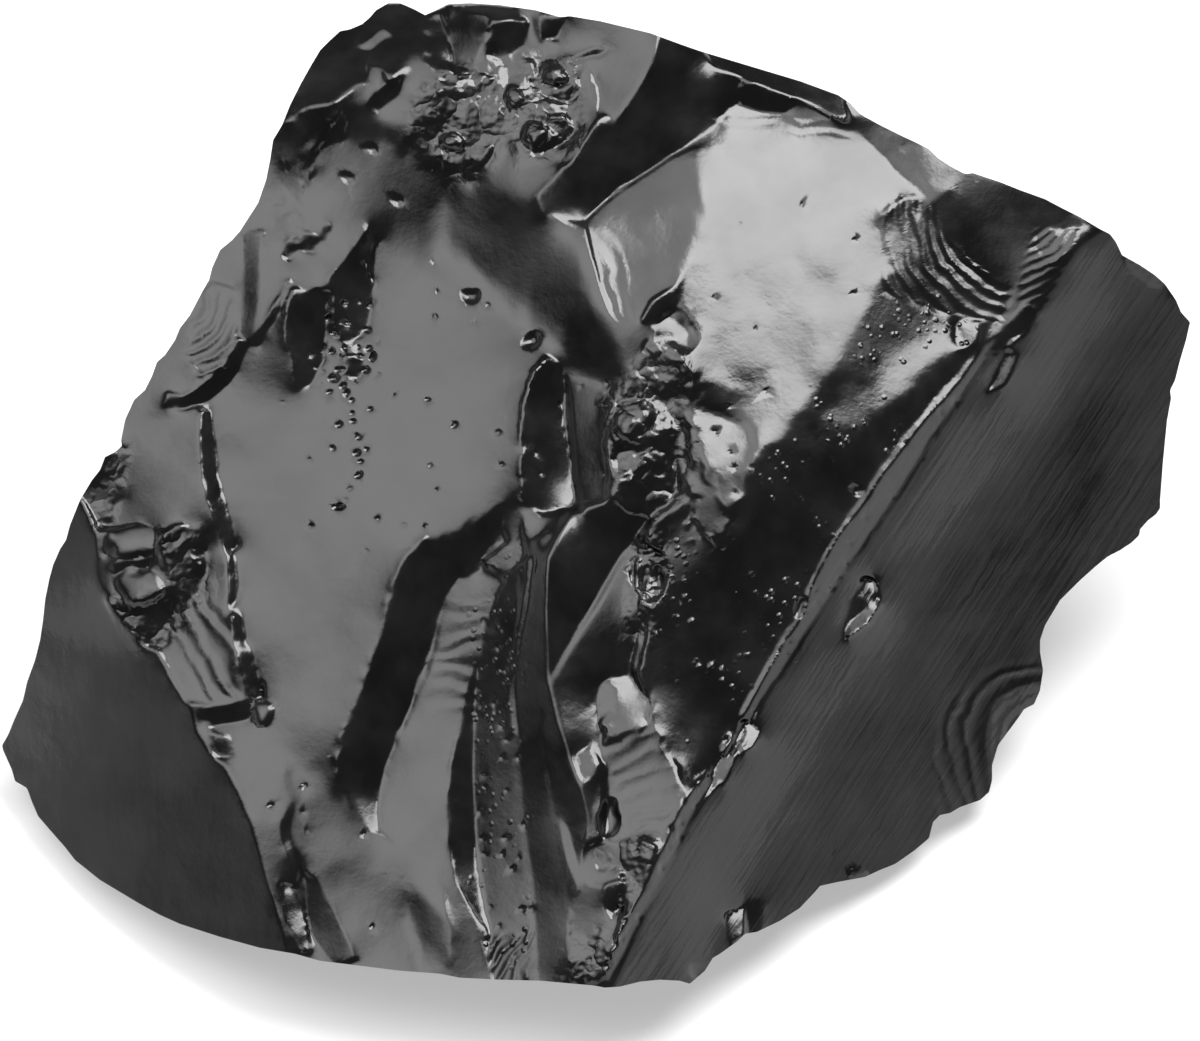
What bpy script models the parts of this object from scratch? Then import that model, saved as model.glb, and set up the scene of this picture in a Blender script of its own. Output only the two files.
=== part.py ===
"""Obsidian chunk: one broken piece of black volcanic glass, standing on a flat underside.

The stone is drawn once, seen along its drawing axis: 50 degrees above the floor, from the front.
On that drawing every fracture face is an outline with the tilt of its surface. The tilts are
joined into one relief by least squares, so neighbouring faces meet in creases or low ledges.
The hidden side is the union of a few broad break planes and shell-shaped scars, and the
underside is cut flat. The frame is +Z up, with its origin below the middle of the stone.
"""
import math

import bmesh
import bpy
import numpy as np

# Real sizes, in metres and degrees.
STONE_WIDTH = 0.090
DRAWING_ELEVATION = 50.0
DRAWING_DISTANCE = 0.900
LOWEST_RIM = 0.0022
RIM_FLANK_SLOPE = 3.2
RIM_UNDERSIDE_SLOPE = 0.60
RIM_SOFTENING = 0.009
RING_SAMPLES = 720
RING_WAVES = 9
RIM_EDGE = 0.0005
THINNEST = 0.0016

# The drawing: its units, and the middle that the outline is seen from.
DRAWING_WIDTH = 1188.0
UNIT = STONE_WIDTH / DRAWING_WIDTH
MIDDLE = (590.0, 500.0)
SHEET = (-30.0, 1230.0, -30.0, 1040.0)
STEP = 6.0
PULL = 2.0e-6
GENERAL_LEAN = 0.30

FRONT_CELLS = 110
BACK_CELLS = 64
KEPT_SHARE = 0.29

BODY_TILT = (-9.0, 14.0)
BODY_TURN = 6.0

# Outline of the stone, clockwise on the drawing (x right, y down, drawing units).
OUTLINE = [
    (220, 250), (232, 240), (258, 203), (270, 160), (273, 140), (290, 105), (310, 67), (330, 40),
    (350, 29), (376, 10), (388, 3), (414, 9), (425, 15), (448, 4), (500, 5), (535, 10), (570, 16),
    (600, 21), (650, 33), (700, 51), (750, 66), (838, 95), (850, 103), (880, 125), (929, 149),
    (950, 166), (965, 174), (1000, 182), (1045, 199), (1080, 217), (1110, 234), (1122, 255),
    (1155, 275), (1176, 300), (1190, 322), (1186, 340), (1170, 390), (1167, 420), (1160, 508),
    (1148, 520), (1132, 542), (1098, 564), (1060, 600), (1045, 625), (1040, 652), (1043, 670),
    (1034, 704), (1018, 718), (998, 745), (992, 765), (989, 792), (980, 800), (940, 815),
    (929, 838), (895, 864), (865, 877), (820, 886), (800, 908), (757, 932), (738, 941), (713, 958),
    (690, 984), (660, 980), (605, 988), (540, 981), (500, 980), (440, 974), (360, 966), (295, 954),
    (220, 937), (160, 915), (120, 892), (75, 860), (50, 830), (32, 802), (27, 788), (15, 781),
    (3, 750), (8, 735), (23, 700), (35, 660), (45, 600), (53, 565), (70, 525), (92, 480),
    (105, 457), (122, 446), (125, 420), (145, 390), (157, 362), (180, 328), (202, 292), (212, 268),
]


class Face:
    """One fracture face: its tilt right and up, how soft its edge is, and its outline."""

    def __init__(self, tilt, outline, soft=10.0, ledge=0.0, turn=(0.0, 0.0)):
        self.tilt = tilt
        self.outline = outline
        self.soft = soft
        self.ledge = ledge
        self.turn = turn


FACES = {
    "left_panel": Face((-12, 12), [
        (232, 240), (262, 230), (250, 300), (236, 350), (212, 405), (206, 440), (215, 480),
        (228, 530), (238, 660), (232, 690), (200, 720), (170, 680), (135, 640), (100, 590),
        (97, 530), (60, 500), (92, 440), (150, 350), (210, 240)], turn=(6, 0)),
    "top_left": Face((-12, 50), [
        (300, 60), (340, 20), (380, -10), (520, -10), (500, 40), (452, 60), (425, 60), (400, 75),
        (358, 82), (330, 105), (270, 130)], ledge=0.5),
    "grey_patch": Face((-16, 10), [
        (520, 8), (600, 15), (668, 30), (645, 80), (618, 118), (590, 150), (540, 150), (545, 60)],
        ledge=0.3),
    "upper_hollow": Face((-28, 6), [
        (385, 130), (435, 165), (430, 240), (470, 280), (530, 340), (600, 395), (640, 390),
        (608, 312), (583, 225), (530, 200), (470, 185), (440, 160)], soft=26, ledge=0.6),
    "top_valley": Face((23, -5), [
        (662, 34), (735, 70), (750, 95), (705, 140), (655, 170), (600, 200), (585, 222),
        (545, 215), (530, 200), (545, 170), (585, 120), (620, 118), (645, 80)], ledge=0.6),
    "triangle": Face((-4, 15), [
        (608, 190), (670, 158), (705, 143), (694, 240), (690, 262), (675, 285), (640, 320),
        (630, 300), (620, 225)], ledge=0.9),
    "tongue": Face((-10, 12), [
        (587, 222), (604, 205), (622, 240), (636, 318), (618, 325), (600, 285)],
        ledge=0.85, turn=(14, 0)),
    "dome_lower": Face((25, -3), [
        (690, 262), (905, 280), (965, 318), (1010, 312), (960, 372), (885, 465), (850, 515),
        (780, 645), (715, 760), (690, 790), (650, 722), (640, 640), (640, 555), (650, 520),
        (690, 500), (690, 420), (675, 330)], ledge=0.5, turn=(3, 3)),
    "dome_upper": Face((14, 28), [
        (738, 105), (820, 112), (850, 122), (900, 175), (920, 200), (905, 240), (865, 320),
        (840, 370), (790, 430), (750, 465), (715, 520), (700, 500), (690, 420), (680, 370),
        (690, 262), (703, 160), (720, 120)], soft=14, turn=(3, 3)),
    "top_sliver": Face((-12, 52), [
        (700, 45), (760, 60), (840, 90), (850, 122), (770, 90), (715, 66)], ledge=0.9),
    "right_corner": Face((22, -4), [
        (850, 118), (905, 150), (930, 200), (950, 190), (925, 150), (1000, 180), (1070, 205),
        (1090, 235), (1045, 300), (1030, 320), (965, 318), (905, 285), (895, 262), (920, 200),
        (885, 155)], ledge=0.6),
    "right_face": Face((37, -9), [
        (1120, 225), (1098, 232), (1060, 270), (1035, 325), (985, 362), (905, 485), (838, 578),
        (755, 715), (670, 865), (618, 975), (605, 1000), (700, 1060), (1250, 1000), (1300, 150)],
        turn=(-3, 3)),
    "right_near": Face((47, -10), [
        (1120, 225), (1098, 232), (1060, 270), (1035, 325), (985, 362), (905, 485), (838, 578),
        (755, 715), (670, 865), (618, 975), (605, 1000), (700, 990), (760, 860), (880, 660),
        (1010, 470), (1110, 330)], soft=30),
    "ridge_bevel": Face((57, -14), [
        (1045, 300), (1010, 330), (960, 380), (885, 470), (815, 580), (765, 675), (695, 785),
        (638, 900), (600, 970), (610, 985), (640, 925), (712, 788), (838, 578), (905, 485),
        (985, 362), (1035, 325)], soft=6, ledge=0.8),
    "step_wall": Face((24, -4), [
        (505, 505), (460, 529), (413, 545), (394, 580), (374, 650), (344, 730), (337, 790),
        (380, 833), (380, 800), (405, 725), (435, 650), (460, 578), (480, 560), (505, 540)],
        ledge=0.6),
    "leaf": Face((-6, 14), [
        (460, 580), (505, 578), (480, 660), (470, 720), (450, 830), (470, 900), (490, 975),
        (440, 975), (445, 890), (380, 830), (380, 800), (405, 725), (437, 640)],
        ledge=0.8, turn=(7, 3)),
    "leaf_wall": Face((27, -4), [
        (478, 700), (454, 745), (451, 830), (472, 900), (490, 960), (476, 860)], ledge=0.9),
    "grey_strip": Face((-23, 12), [
        (505, 575), (522, 548), (526, 585), (509, 720), (513, 800), (532, 990), (495, 990),
        (476, 880), (476, 740)], ledge=0.9, turn=(5, -2)),
    "gully_left": Face((-28, 12), [
        (531, 540), (545, 590), (548, 685), (540, 730), (575, 930), (560, 985), (534, 985),
        (514, 800), (511, 720), (528, 585)], ledge=0.9),
    "gully_right": Face((20, -9), [
        (545, 560), (570, 510), (600, 495), (640, 500), (650, 520), (600, 600), (548, 685)],
        ledge=0.85),
    "fork_right": Face((24, -8), [
        (625, 555), (650, 610), (630, 690), (600, 745), (590, 820), (548, 685), (600, 600)],
        ledge=0.8),
    "fork_low": Face((-30, 12), [
        (548, 685), (575, 770), (590, 820), (572, 930), (541, 730)], ledge=0.9),
    "short_wall": Face((27, -4), [
        (530, 370), (520, 440), (520, 505), (545, 520), (580, 505), (566, 376), (548, 360)],
        ledge=0.9),
    "column": Face((-25, 12), [
        (566, 376), (612, 400), (605, 500), (580, 505), (570, 410)], ledge=0.9),
    "ribbed_chip": Face((-8, 14), [
        (600, 745), (652, 722), (688, 795), (672, 810), (635, 838), (605, 785)], ledge=0.9),
    "foot_chip": Face((-10, 14), [
        (585, 845), (640, 838), (665, 842), (600, 985), (570, 985), (580, 890)], ledge=0.9),
    "left_face": Face((-40, -8), [
        (60, 470), (85, 505), (100, 560), (105, 600), (135, 640), (175, 680), (215, 755),
        (240, 790), (265, 870), (295, 975), (200, 1020), (-40, 930), (-60, 600), (30, 480)],
        turn=(6, 0)),
}

# Rounded lumps that stand on the front: middle, radius and height in drawing units.
LUMPS = [
    ((534, 138), 17, 12), ((550, 74), 14, 10), ((455, 105), 26, 9), ((432, 135), 16, 8),
    ((636, 417), 24, 11), ((672, 458), 15, 9), ((532, 528), 13, 9), ((588, 762), 15, 8),
    ((128, 543), 24, 12), ((136, 580), 20, 10), ((262, 712), 9, 6),
]
# Shell-shaped scars on the front: middle, radius and depth in drawing units.
SCARS = [
    ((540, 135), 36, 14), ((550, 82), 32, 12), ((205, 330), 44, 12), ((135, 560), 62, 20),
    ((312, 335), 30, 12), ((353, 285), 26, 12), ((650, 578), 22, 8), ((665, 440), 42, 14),
    ((1010, 735), 62, 11), ((930, 245), 60, 12), ((766, 98), 26, 10), ((740, 925), 20, 7),
]

# Broad break planes of the hidden side: outward direction, and distance from the middle (m).
BREAK_PLANES = [
    ((0.29, 0.95, -0.14), 0.0268),
    ((-0.82, 0.57, -0.12), 0.0305),
    ((-0.20, 0.96, -0.34), 0.0262),
    ((-0.80, 0.12, -0.58), 0.0330),
    ((0.90, 0.30, -0.32), 0.0392),
    ((0.62, 0.70, -0.40), 0.0330),
]
# Shell-shaped scars of the hidden side: middle of the ball that bit them (m) and its radius.
BACK_SCARS = [
    ((-0.034, 0.046, 0.018), 0.0240),
    ((0.022, 0.052, 0.010), 0.0290),
    ((0.060, 0.022, 0.000), 0.0250),
    ((-0.064, 0.004, 0.002), 0.0250),
]

# The glass: near black, and glossy where it is freshly broken.
GLASS_COLOUR = (0.012, 0.012, 0.013, 1.0)
GLASS_ROUGHNESS = 0.16
GLASS_IOR = 1.5


def clear_scene():
    """Remove the objects that a new file starts with."""
    for obj in list(bpy.data.objects):
        bpy.data.objects.remove(obj, do_unlink=True)


def ease(t):
    """Smooth step from 0 to 1."""
    t = np.clip(t, 0.0, 1.0)
    return t * t * (3.0 - 2.0 * t)


def inside_distance(x, y, outline):
    """Distance to a closed outline, positive inside it."""
    nearest = np.full(x.shape, 1.0e12)
    inside = np.zeros(x.shape, dtype=bool)
    for (ax, ay), (bx, by) in zip(outline, outline[1:] + outline[:1]):
        ex, ey = bx - ax, by - ay
        t = np.clip(((x - ax) * ex + (y - ay) * ey) / (ex * ex + ey * ey), 0.0, 1.0)
        nearest = np.minimum(nearest, (x - ax - t * ex) ** 2 + (y - ay - t * ey) ** 2)
        if ay != by:
            inside ^= ((ay > y) != (by > y)) & (x < ax + (y - ay) * ex / (by - ay))
    return np.where(inside, 1.0, -1.0) * np.sqrt(nearest)


def join_tilts(slope_x, slope_y, hold_x, hold_y, start):
    """Relief whose steps come nearest to the wanted slopes, by conjugate gradients."""
    rows, columns = start.shape
    stiff = 0.5 * (hold_x.mean() + hold_y.mean())
    wave_y = 2.0 - 2.0 * np.cos(np.pi * np.arange(2 * rows) / rows)
    wave_x = 2.0 - 2.0 * np.cos(np.pi * np.arange(columns + 1) / columns)
    pull = PULL * STEP * STEP
    divisor = stiff * (wave_y[:, None] + wave_x[None, :]) + pull

    def mirror_solve(field):
        doubled = np.concatenate([field, field[::-1]], axis=0)
        doubled = np.concatenate([doubled, doubled[:, ::-1]], axis=1)
        waves = np.fft.rfft2(doubled) / divisor
        return np.fft.irfft2(waves, s=doubled.shape)[:rows, :columns]

    def spread(step_x, step_y):
        out = np.zeros((rows, columns))
        out[:, 1:] += step_x
        out[:, :-1] -= step_x
        out[1:] += step_y
        out[:-1] -= step_y
        return out

    def apply(field):
        return pull * field + spread(hold_x * np.diff(field, axis=1), hold_y * np.diff(field, axis=0))

    relief = start.copy()
    wanted = pull * start + spread(hold_x * slope_x, hold_y * slope_y)
    rest = wanted - apply(relief)
    guess = mirror_solve(rest)
    heading = guess.copy()
    power = (rest * guess).sum()
    limit = 1.0e-4 * math.sqrt((wanted * wanted).sum())
    while math.sqrt((rest * rest).sum()) > limit:
        pushed = apply(heading)
        stride = power / (heading * pushed).sum()
        relief += stride * heading
        rest -= stride * pushed
        guess = mirror_solve(rest)
        power, last = (rest * guess).sum(), power
        heading = guess + power / last * heading
    return relief


def front_relief():
    """Height of the front above the drawing, in drawing units, on a square grid."""
    across = np.arange(SHEET[0], SHEET[1], STEP)
    down = np.arange(SHEET[2], SHEET[3], STEP)
    x, y = np.meshgrid(across, down)
    right = BODY_TILT[0] + BODY_TURN * (x - MIDDLE[0]) / (0.5 * DRAWING_WIDTH)
    up = np.full(x.shape, BODY_TILT[1])
    hold = np.ones(x.shape)
    for face in FACES.values():
        corners = np.array(face.outline, dtype=float)
        middle = corners.mean(axis=0)
        half = 0.5 * np.ptp(corners, axis=0)
        depth = inside_distance(x, y, face.outline)
        cover = ease(0.5 + 0.5 * depth / face.soft)
        face_right = face.tilt[0] + face.turn[0] * (x - middle[0]) / half[0]
        face_up = face.tilt[1] - face.turn[1] * (y - middle[1]) / half[1]
        right += cover * (face_right - right)
        up += cover * (face_up - up)
        hold *= 1.0 - face.ledge * np.exp(-((depth / face.soft) ** 2))
    slope_x = -np.tan(np.radians(right)) * STEP
    slope_y = np.tan(np.radians(up)) * STEP
    relief = join_tilts(
        0.5 * (slope_x[:, 1:] + slope_x[:, :-1]), 0.5 * (slope_y[1:] + slope_y[:-1]),
        0.5 * (hold[:, 1:] + hold[:, :-1]), 0.5 * (hold[1:] + hold[:-1]),
        GENERAL_LEAN * (y - MIDDLE[1]))
    for (mx, my), radius, depth in SCARS:
        away = ((x - mx) ** 2 + (y - my) ** 2) / radius ** 2
        relief -= depth * np.clip(1.0 - away, 0.0, 1.0)
    for (mx, my), radius, height in LUMPS:
        away = ((x - mx) ** 2 + (y - my) ** 2) / radius ** 2
        relief += height * np.sqrt(np.clip(1.0 - away, 0.0, 1.0))
    return relief


def read_relief(relief, x, y):
    """The relief at any drawing point, blended from the four grid points around it."""
    u = np.clip((x - SHEET[0]) / STEP, 0.0, relief.shape[1] - 1.001)
    v = np.clip((y - SHEET[2]) / STEP, 0.0, relief.shape[0] - 1.001)
    i, j = u.astype(int), v.astype(int)
    fu, fv = u - i, v - j
    low = relief[j, i] * (1.0 - fu) + relief[j, i + 1] * fu
    high = relief[j + 1, i] * (1.0 - fu) + relief[j + 1, i + 1] * fu
    return low * (1.0 - fv) + high * fv


def rim_reach(angle):
    """Distance from the middle to the outline in each direction."""
    corners = np.array(OUTLINE, dtype=float) - MIDDLE
    turn = np.arctan2(corners[:, 1], corners[:, 0])
    order = np.argsort(turn)
    corners, turn = corners[order], turn[order]
    after = np.searchsorted(turn, angle) % len(turn)
    a, b = corners[after - 1], corners[after]
    ex, ey = (b - a)[..., 0], (b - a)[..., 1]
    return (a[..., 0] * ey - a[..., 1] * ex) / (np.cos(angle) * ey - np.sin(angle) * ex)


def square_to_stone(u, v):
    """Carry a square from -1 to 1 onto the outline: drawing point and share of the way out."""
    sideways = np.abs(u) > np.abs(v)
    radius = np.where(sideways, u, v)
    safe_u, safe_v = np.where(u == 0.0, 1.0, u), np.where(v == 0.0, 1.0, v)
    angle = np.where(sideways, 0.25 * math.pi * v / safe_u, 0.5 * math.pi - 0.25 * math.pi * u / safe_v)
    angle = np.where(radius < 0.0, angle + math.pi, angle)
    angle = np.arctan2(np.sin(angle), np.cos(angle))
    share = np.abs(radius)
    reach = rim_reach(angle) * share
    return MIDDLE[0] + reach * np.cos(angle), MIDDLE[1] + reach * np.sin(angle), share, angle


def drawing_to_world(x, y, height, lift):
    """World place of a drawing point that stands at a height towards the eye, all in metres."""
    elevation = math.radians(DRAWING_ELEVATION)
    nearer = (DRAWING_DISTANCE - height) / DRAWING_DISTANCE
    right, up = x * nearer, y * nearer
    back = up * math.sin(elevation) - height * math.cos(elevation)
    above = up * math.cos(elevation) + height * math.sin(elevation) + lift
    return right, back, above


def back_height(x, y, start, gap, lift):
    """Height of the hidden side at a drawing point: the nearest of its flank, planes and scars."""
    elevation = math.radians(DRAWING_ELEVATION)
    sin_e, cos_e = math.sin(elevation), math.cos(elevation)
    height = start - RIM_FLANK_SLOPE * gap
    for direction, distance in BREAK_PLANES:
        nx, ny, nz = np.array(direction) / np.linalg.norm(direction)
        facing = ny * cos_e - nz * sin_e
        plane = (nx * x + (ny * sin_e + nz * cos_e) * y - distance) / facing
        height = np.maximum(height, plane)
    for (mx, my, mz), radius in BACK_SCARS:
        up = my * sin_e + (mz - lift) * cos_e
        near = (mz - lift) * sin_e - my * cos_e
        bite = radius ** 2 - (x - mx) ** 2 - (y - up) ** 2
        height = np.where(bite > 0.0, np.maximum(height, near + np.sqrt(np.abs(bite))), height)
    return height


def soften_ring(ring):
    """A closed ring of values with its fine jags taken out."""
    waves = np.fft.rfft(ring)
    waves[RING_WAVES:] = 0.0
    return np.fft.irfft(waves, n=len(ring))


def read_ring(ring, angle):
    """Value of a closed ring of samples in any direction."""
    place = (angle / (2.0 * math.pi)) % 1.0 * len(ring)
    i = place.astype(int) % len(ring)
    share = place - place.astype(int)
    return ring[i] * (1.0 - share) + ring[(i + 1) % len(ring)] * share


def rim_rings(relief):
    """Softened reach and height of the rim in every direction, in drawing units."""
    angle = np.linspace(0.0, 2.0 * math.pi, RING_SAMPLES, endpoint=False)
    turn = np.arctan2(np.sin(angle), np.cos(angle))
    reach = rim_reach(turn)
    rim = read_relief(relief, MIDDLE[0] + reach * np.cos(turn), MIDDLE[1] + reach * np.sin(turn))
    return soften_ring(reach), soften_ring(rim)


def hidden_side(relief, lift, x_draw, y_draw, share, angle, front):
    """Height of the hidden side (m) at each drawing point, behind the front and joined at the rim."""
    reach = rim_reach(angle)
    rim = read_relief(relief, MIDDLE[0] + reach * np.cos(angle), MIDDLE[1] + reach * np.sin(angle))
    soft_reach, soft_rim = rim_rings(relief)
    gap = (1.0 - share) * reach * UNIT
    soften = ease(gap / RIM_SOFTENING)
    gap += soften * ((read_ring(soft_reach, angle) - share * reach) * UNIT - gap)
    start = (rim + soften * (read_ring(soft_rim, angle) - rim)) * UNIT - RIM_EDGE
    x = (x_draw - MIDDLE[0]) * UNIT
    y = (MIDDLE[1] - y_draw) * UNIT
    behind = back_height(x, y, start, gap, lift)
    behind = np.minimum(behind, start - RIM_UNDERSIDE_SLOPE * gap)
    least = RIM_EDGE + (THINNEST - RIM_EDGE) * ease(gap / (2.0 * THINNEST))
    return np.minimum(behind, front - least)


def add_sheet(mesh, cells, relief, lift, hidden):
    """Add the front or the hidden side as a grid of square cells."""
    verts = bmesh.ops.create_grid(mesh, x_segments=cells, y_segments=cells, size=1.0)["verts"]
    flat = np.array([vert.co[:2] for vert in verts])
    x_draw, y_draw, share, angle = square_to_stone(flat[:, 0], flat[:, 1])
    height = read_relief(relief, x_draw, y_draw) * UNIT
    if hidden:
        height = hidden_side(relief, lift, x_draw, y_draw, share, angle, height)
    x = (x_draw - MIDDLE[0]) * UNIT
    y = (MIDDLE[1] - y_draw) * UNIT
    places = np.stack(drawing_to_world(x, y, height, lift), axis=1)
    for vert, place in zip(verts, places):
        vert.co = place


def build_stone():
    """The whole stone as one closed body with its underside cut flat."""
    relief = front_relief()
    corners = np.array(OUTLINE, dtype=float)
    rim = read_relief(relief, corners[:, 0], corners[:, 1]) * UNIT
    places = drawing_to_world(
        (corners[:, 0] - MIDDLE[0]) * UNIT, (MIDDLE[1] - corners[:, 1]) * UNIT, rim, 0.0)
    lift = LOWEST_RIM - places[2].min()

    mesh = bmesh.new()
    add_sheet(mesh, FRONT_CELLS, relief, lift, hidden=False)
    add_sheet(mesh, BACK_CELLS, relief, lift, hidden=True)
    bmesh.ops.bridge_loops(mesh, edges=[edge for edge in mesh.edges if edge.is_boundary])
    bmesh.ops.bisect_plane(
        mesh, geom=mesh.verts[:] + mesh.edges[:] + mesh.faces[:], plane_co=(0, 0, 0),
        plane_no=(0, 0, -1), clear_outer=True, dist=1.0e-7)
    bmesh.ops.holes_fill(mesh, edges=[edge for edge in mesh.edges if edge.is_boundary])
    bmesh.ops.triangulate(mesh, faces=mesh.faces)
    bmesh.ops.recalc_face_normals(mesh, faces=mesh.faces)
    if mesh.calc_volume(signed=True) < 0.0:
        bmesh.ops.reverse_faces(mesh, faces=mesh.faces)
    places = np.array([vert.co[:2] for vert in mesh.verts])
    off_middle = 0.5 * (places.min(axis=0) + places.max(axis=0))
    bmesh.ops.translate(mesh, verts=mesh.verts, vec=(-off_middle[0], -off_middle[1], 0.0))
    return mesh


def glass():
    """Black volcanic glass."""
    material = bpy.data.materials.new("obsidian_glass")
    material.use_nodes = True
    shader = material.node_tree.nodes["Principled BSDF"]
    shader.inputs["Base Color"].default_value = GLASS_COLOUR
    shader.inputs["Roughness"].default_value = GLASS_ROUGHNESS
    shader.inputs["Metallic"].default_value = 0.0
    shader.inputs["IOR"].default_value = GLASS_IOR
    return material


def main():
    clear_scene()
    mesh = build_stone()
    data = bpy.data.meshes.new("obsidian_chunk")
    mesh.to_mesh(data)
    mesh.free()
    data.materials.append(glass())
    stone = bpy.data.objects.new("obsidian_chunk", data)
    bpy.context.scene.collection.objects.link(stone)
    thin_out = stone.modifiers.new("thin_out", "DECIMATE")
    thin_out.ratio = KEPT_SHARE
    thin_out.use_collapse_triangulate = True


main()
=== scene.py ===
"""Obsidian chunk: the finish of one broken piece of black volcanic glass.

The stone is worked out on one drawing, seen along the drawing axis from the front and above.
Every fracture face is an outline with a tilt; the tilts are joined into a relief, and swells,
lumps, scars, ripples and bubbles are laid over it. The hidden side is made of broad break
planes and shell-shaped bites, and the underside is cut flat.
"""
import logging
import math
from dataclasses import dataclass, field
from enum import Enum, IntEnum
from typing import Any, ClassVar, Protocol

import bmesh
import bpy
import numpy as np
from mathutils import Matrix, Vector


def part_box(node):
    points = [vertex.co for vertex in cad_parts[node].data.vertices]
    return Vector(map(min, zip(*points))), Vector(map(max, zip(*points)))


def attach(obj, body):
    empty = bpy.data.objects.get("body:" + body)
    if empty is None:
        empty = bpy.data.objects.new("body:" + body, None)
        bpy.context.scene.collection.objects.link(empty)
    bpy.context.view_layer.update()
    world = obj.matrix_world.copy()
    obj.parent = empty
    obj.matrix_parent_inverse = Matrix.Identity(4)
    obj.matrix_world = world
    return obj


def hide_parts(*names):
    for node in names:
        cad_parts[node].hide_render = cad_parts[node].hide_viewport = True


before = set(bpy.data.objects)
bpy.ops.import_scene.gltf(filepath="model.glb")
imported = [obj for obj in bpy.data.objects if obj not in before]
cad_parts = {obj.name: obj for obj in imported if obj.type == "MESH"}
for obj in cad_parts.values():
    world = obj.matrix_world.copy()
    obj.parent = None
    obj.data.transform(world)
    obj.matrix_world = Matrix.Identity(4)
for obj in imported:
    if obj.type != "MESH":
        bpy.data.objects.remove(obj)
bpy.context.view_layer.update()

LOG = logging.getLogger("obsidian_chunk")
NODE = "obsidian_chunk"

Array = np.ndarray
Point = tuple[float, float]
Outline = list[Point]
Triple = tuple[float, float, float]
Tree = bpy.types.NodeTree
Socket = bpy.types.NodeSocket

LATTICE = 64  # random values along each side of a noise pattern, before it repeats
LAYER_SHIFT = (17.3, -9.1)  # how far each finer layer of noise is moved, in drawing units
MARK_WAVER = ((26.0, 2.6), (10.0, 1.5))  # size and push of the noises that bend the marks
FAR = 1.0e12
METRE_MM = 1000.0


class Seed(IntEnum):
    """Where each noise starts, so that no two patterns are alike."""

    FACE_WAVER = 5
    FACE_FRAY = 6
    MARK_ACROSS = 61
    MARK_DOWN = 63
    RIPPLE_WANDER = 71
    RIPPLE_WANE = 72
    HIDDEN_SWELL = 91
    HIDDEN_CHIPS = 95
    COVER_WAVER = 101


# ---------------------------------------------------------------- the drawing and its tools

@dataclass(frozen=True)
class Drawing:
    """The drawing that the stone is laid out on, and how it stands in the world.

    Drawing units run right (x) and down (y); relief heights, in the same units, point at the
    eye. The stone's width in metres gives the size of a unit. The elevation is in degrees, and
    the distance of the eye in metres.
    """

    stone_width: float = 0.090
    width: float = 1188.0
    elevation: float = 50.0
    distance: float = 0.900
    middle: Point = (590.0, 500.0)

    @property
    def unit(self) -> float:
        """Metres in one drawing unit."""
        return self.stone_width / self.width

    @property
    def axes(self) -> tuple[float, float]:
        """Sine and cosine of the angle that the drawing is seen from."""
        angle = math.radians(self.elevation)
        return math.sin(angle), math.cos(angle)

    def world(self, x: Array, y: Array, height: Array, lift: float) -> Array:
        """Place drawing points in the world.

        Args:
            x: metres right of the middle.
            y: metres up from the middle.
            height: metres towards the eye.
            lift: height of the drawing's middle above the floor.

        Returns:
            World places, one row each: the drawing plane turned to its elevation, with the
            points nearer the eye drawn in so that they still cover their place on the drawing.
        """
        sin_e, cos_e = self.axes
        nearer = (self.distance - height) / self.distance
        right, up = x * nearer, y * nearer
        return np.stack([right, up * sin_e - height * cos_e, up * cos_e + height * sin_e + lift], axis=-1)


DRAWING = Drawing()


def ease(t: Array) -> Array:
    """Smooth step: 3t^2 - 2t^3 between 0 and 1."""
    t = np.clip(t, 0.0, 1.0)
    return t * t * (3.0 - 2.0 * t)


def inside_distance(x: Array, y: Array, outline: Outline) -> Array:
    """Distance to a closed outline: the nearest segment, with the sides told by crossings.

    Args:
        x: drawing units right.
        y: drawing units down.
        outline: corners of the outline.

    Returns:
        The distance from each point, positive inside the outline and negative outside.
    """
    nearest = np.full(x.shape, FAR)
    inside = np.zeros(x.shape, dtype=bool)
    for (ax, ay), (bx, by) in zip(outline, outline[1:] + outline[:1]):
        ex, ey = bx - ax, by - ay
        t = np.clip(((x - ax) * ex + (y - ay) * ey) / (ex * ex + ey * ey), 0.0, 1.0)
        nearest = np.minimum(nearest, (x - ax - t * ex) ** 2 + (y - ay - t * ey) ** 2)
        if ay != by:
            inside ^= ((ay > y) != (by > y)) & (x < ax + (y - ay) * ex / (by - ay))
    return np.where(inside, 1.0, -1.0) * np.sqrt(nearest)


def noise(x: Array, y: Array, size: float, seed: int) -> Array:
    """Value noise: a seeded square lattice of random values, blended by quintics.

    Args:
        x: drawing units right.
        y: drawing units down.
        size: drawing units from one lattice value to the next.
        seed: start of the random draw.

    Returns:
        Values from -1 to 1.
    """
    lattice = np.random.default_rng(seed).uniform(-1.0, 1.0, (LATTICE, LATTICE))
    u, v = x / size, y / size
    i, j = np.floor(u).astype(int), np.floor(v).astype(int)
    fu, fv = u - i, v - j
    fu = fu ** 3 * (fu * (fu * 6.0 - 15.0) + 10.0)
    fv = fv ** 3 * (fv * (fv * 6.0 - 15.0) + 10.0)
    i0, i1, j0, j1 = i % LATTICE, (i + 1) % LATTICE, j % LATTICE, (j + 1) % LATTICE
    near = lattice[i0, j0] * (1.0 - fu) + lattice[i1, j0] * fu
    far = lattice[i0, j1] * (1.0 - fu) + lattice[i1, j1] * fu
    return near * (1.0 - fv) + far * fv


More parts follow.
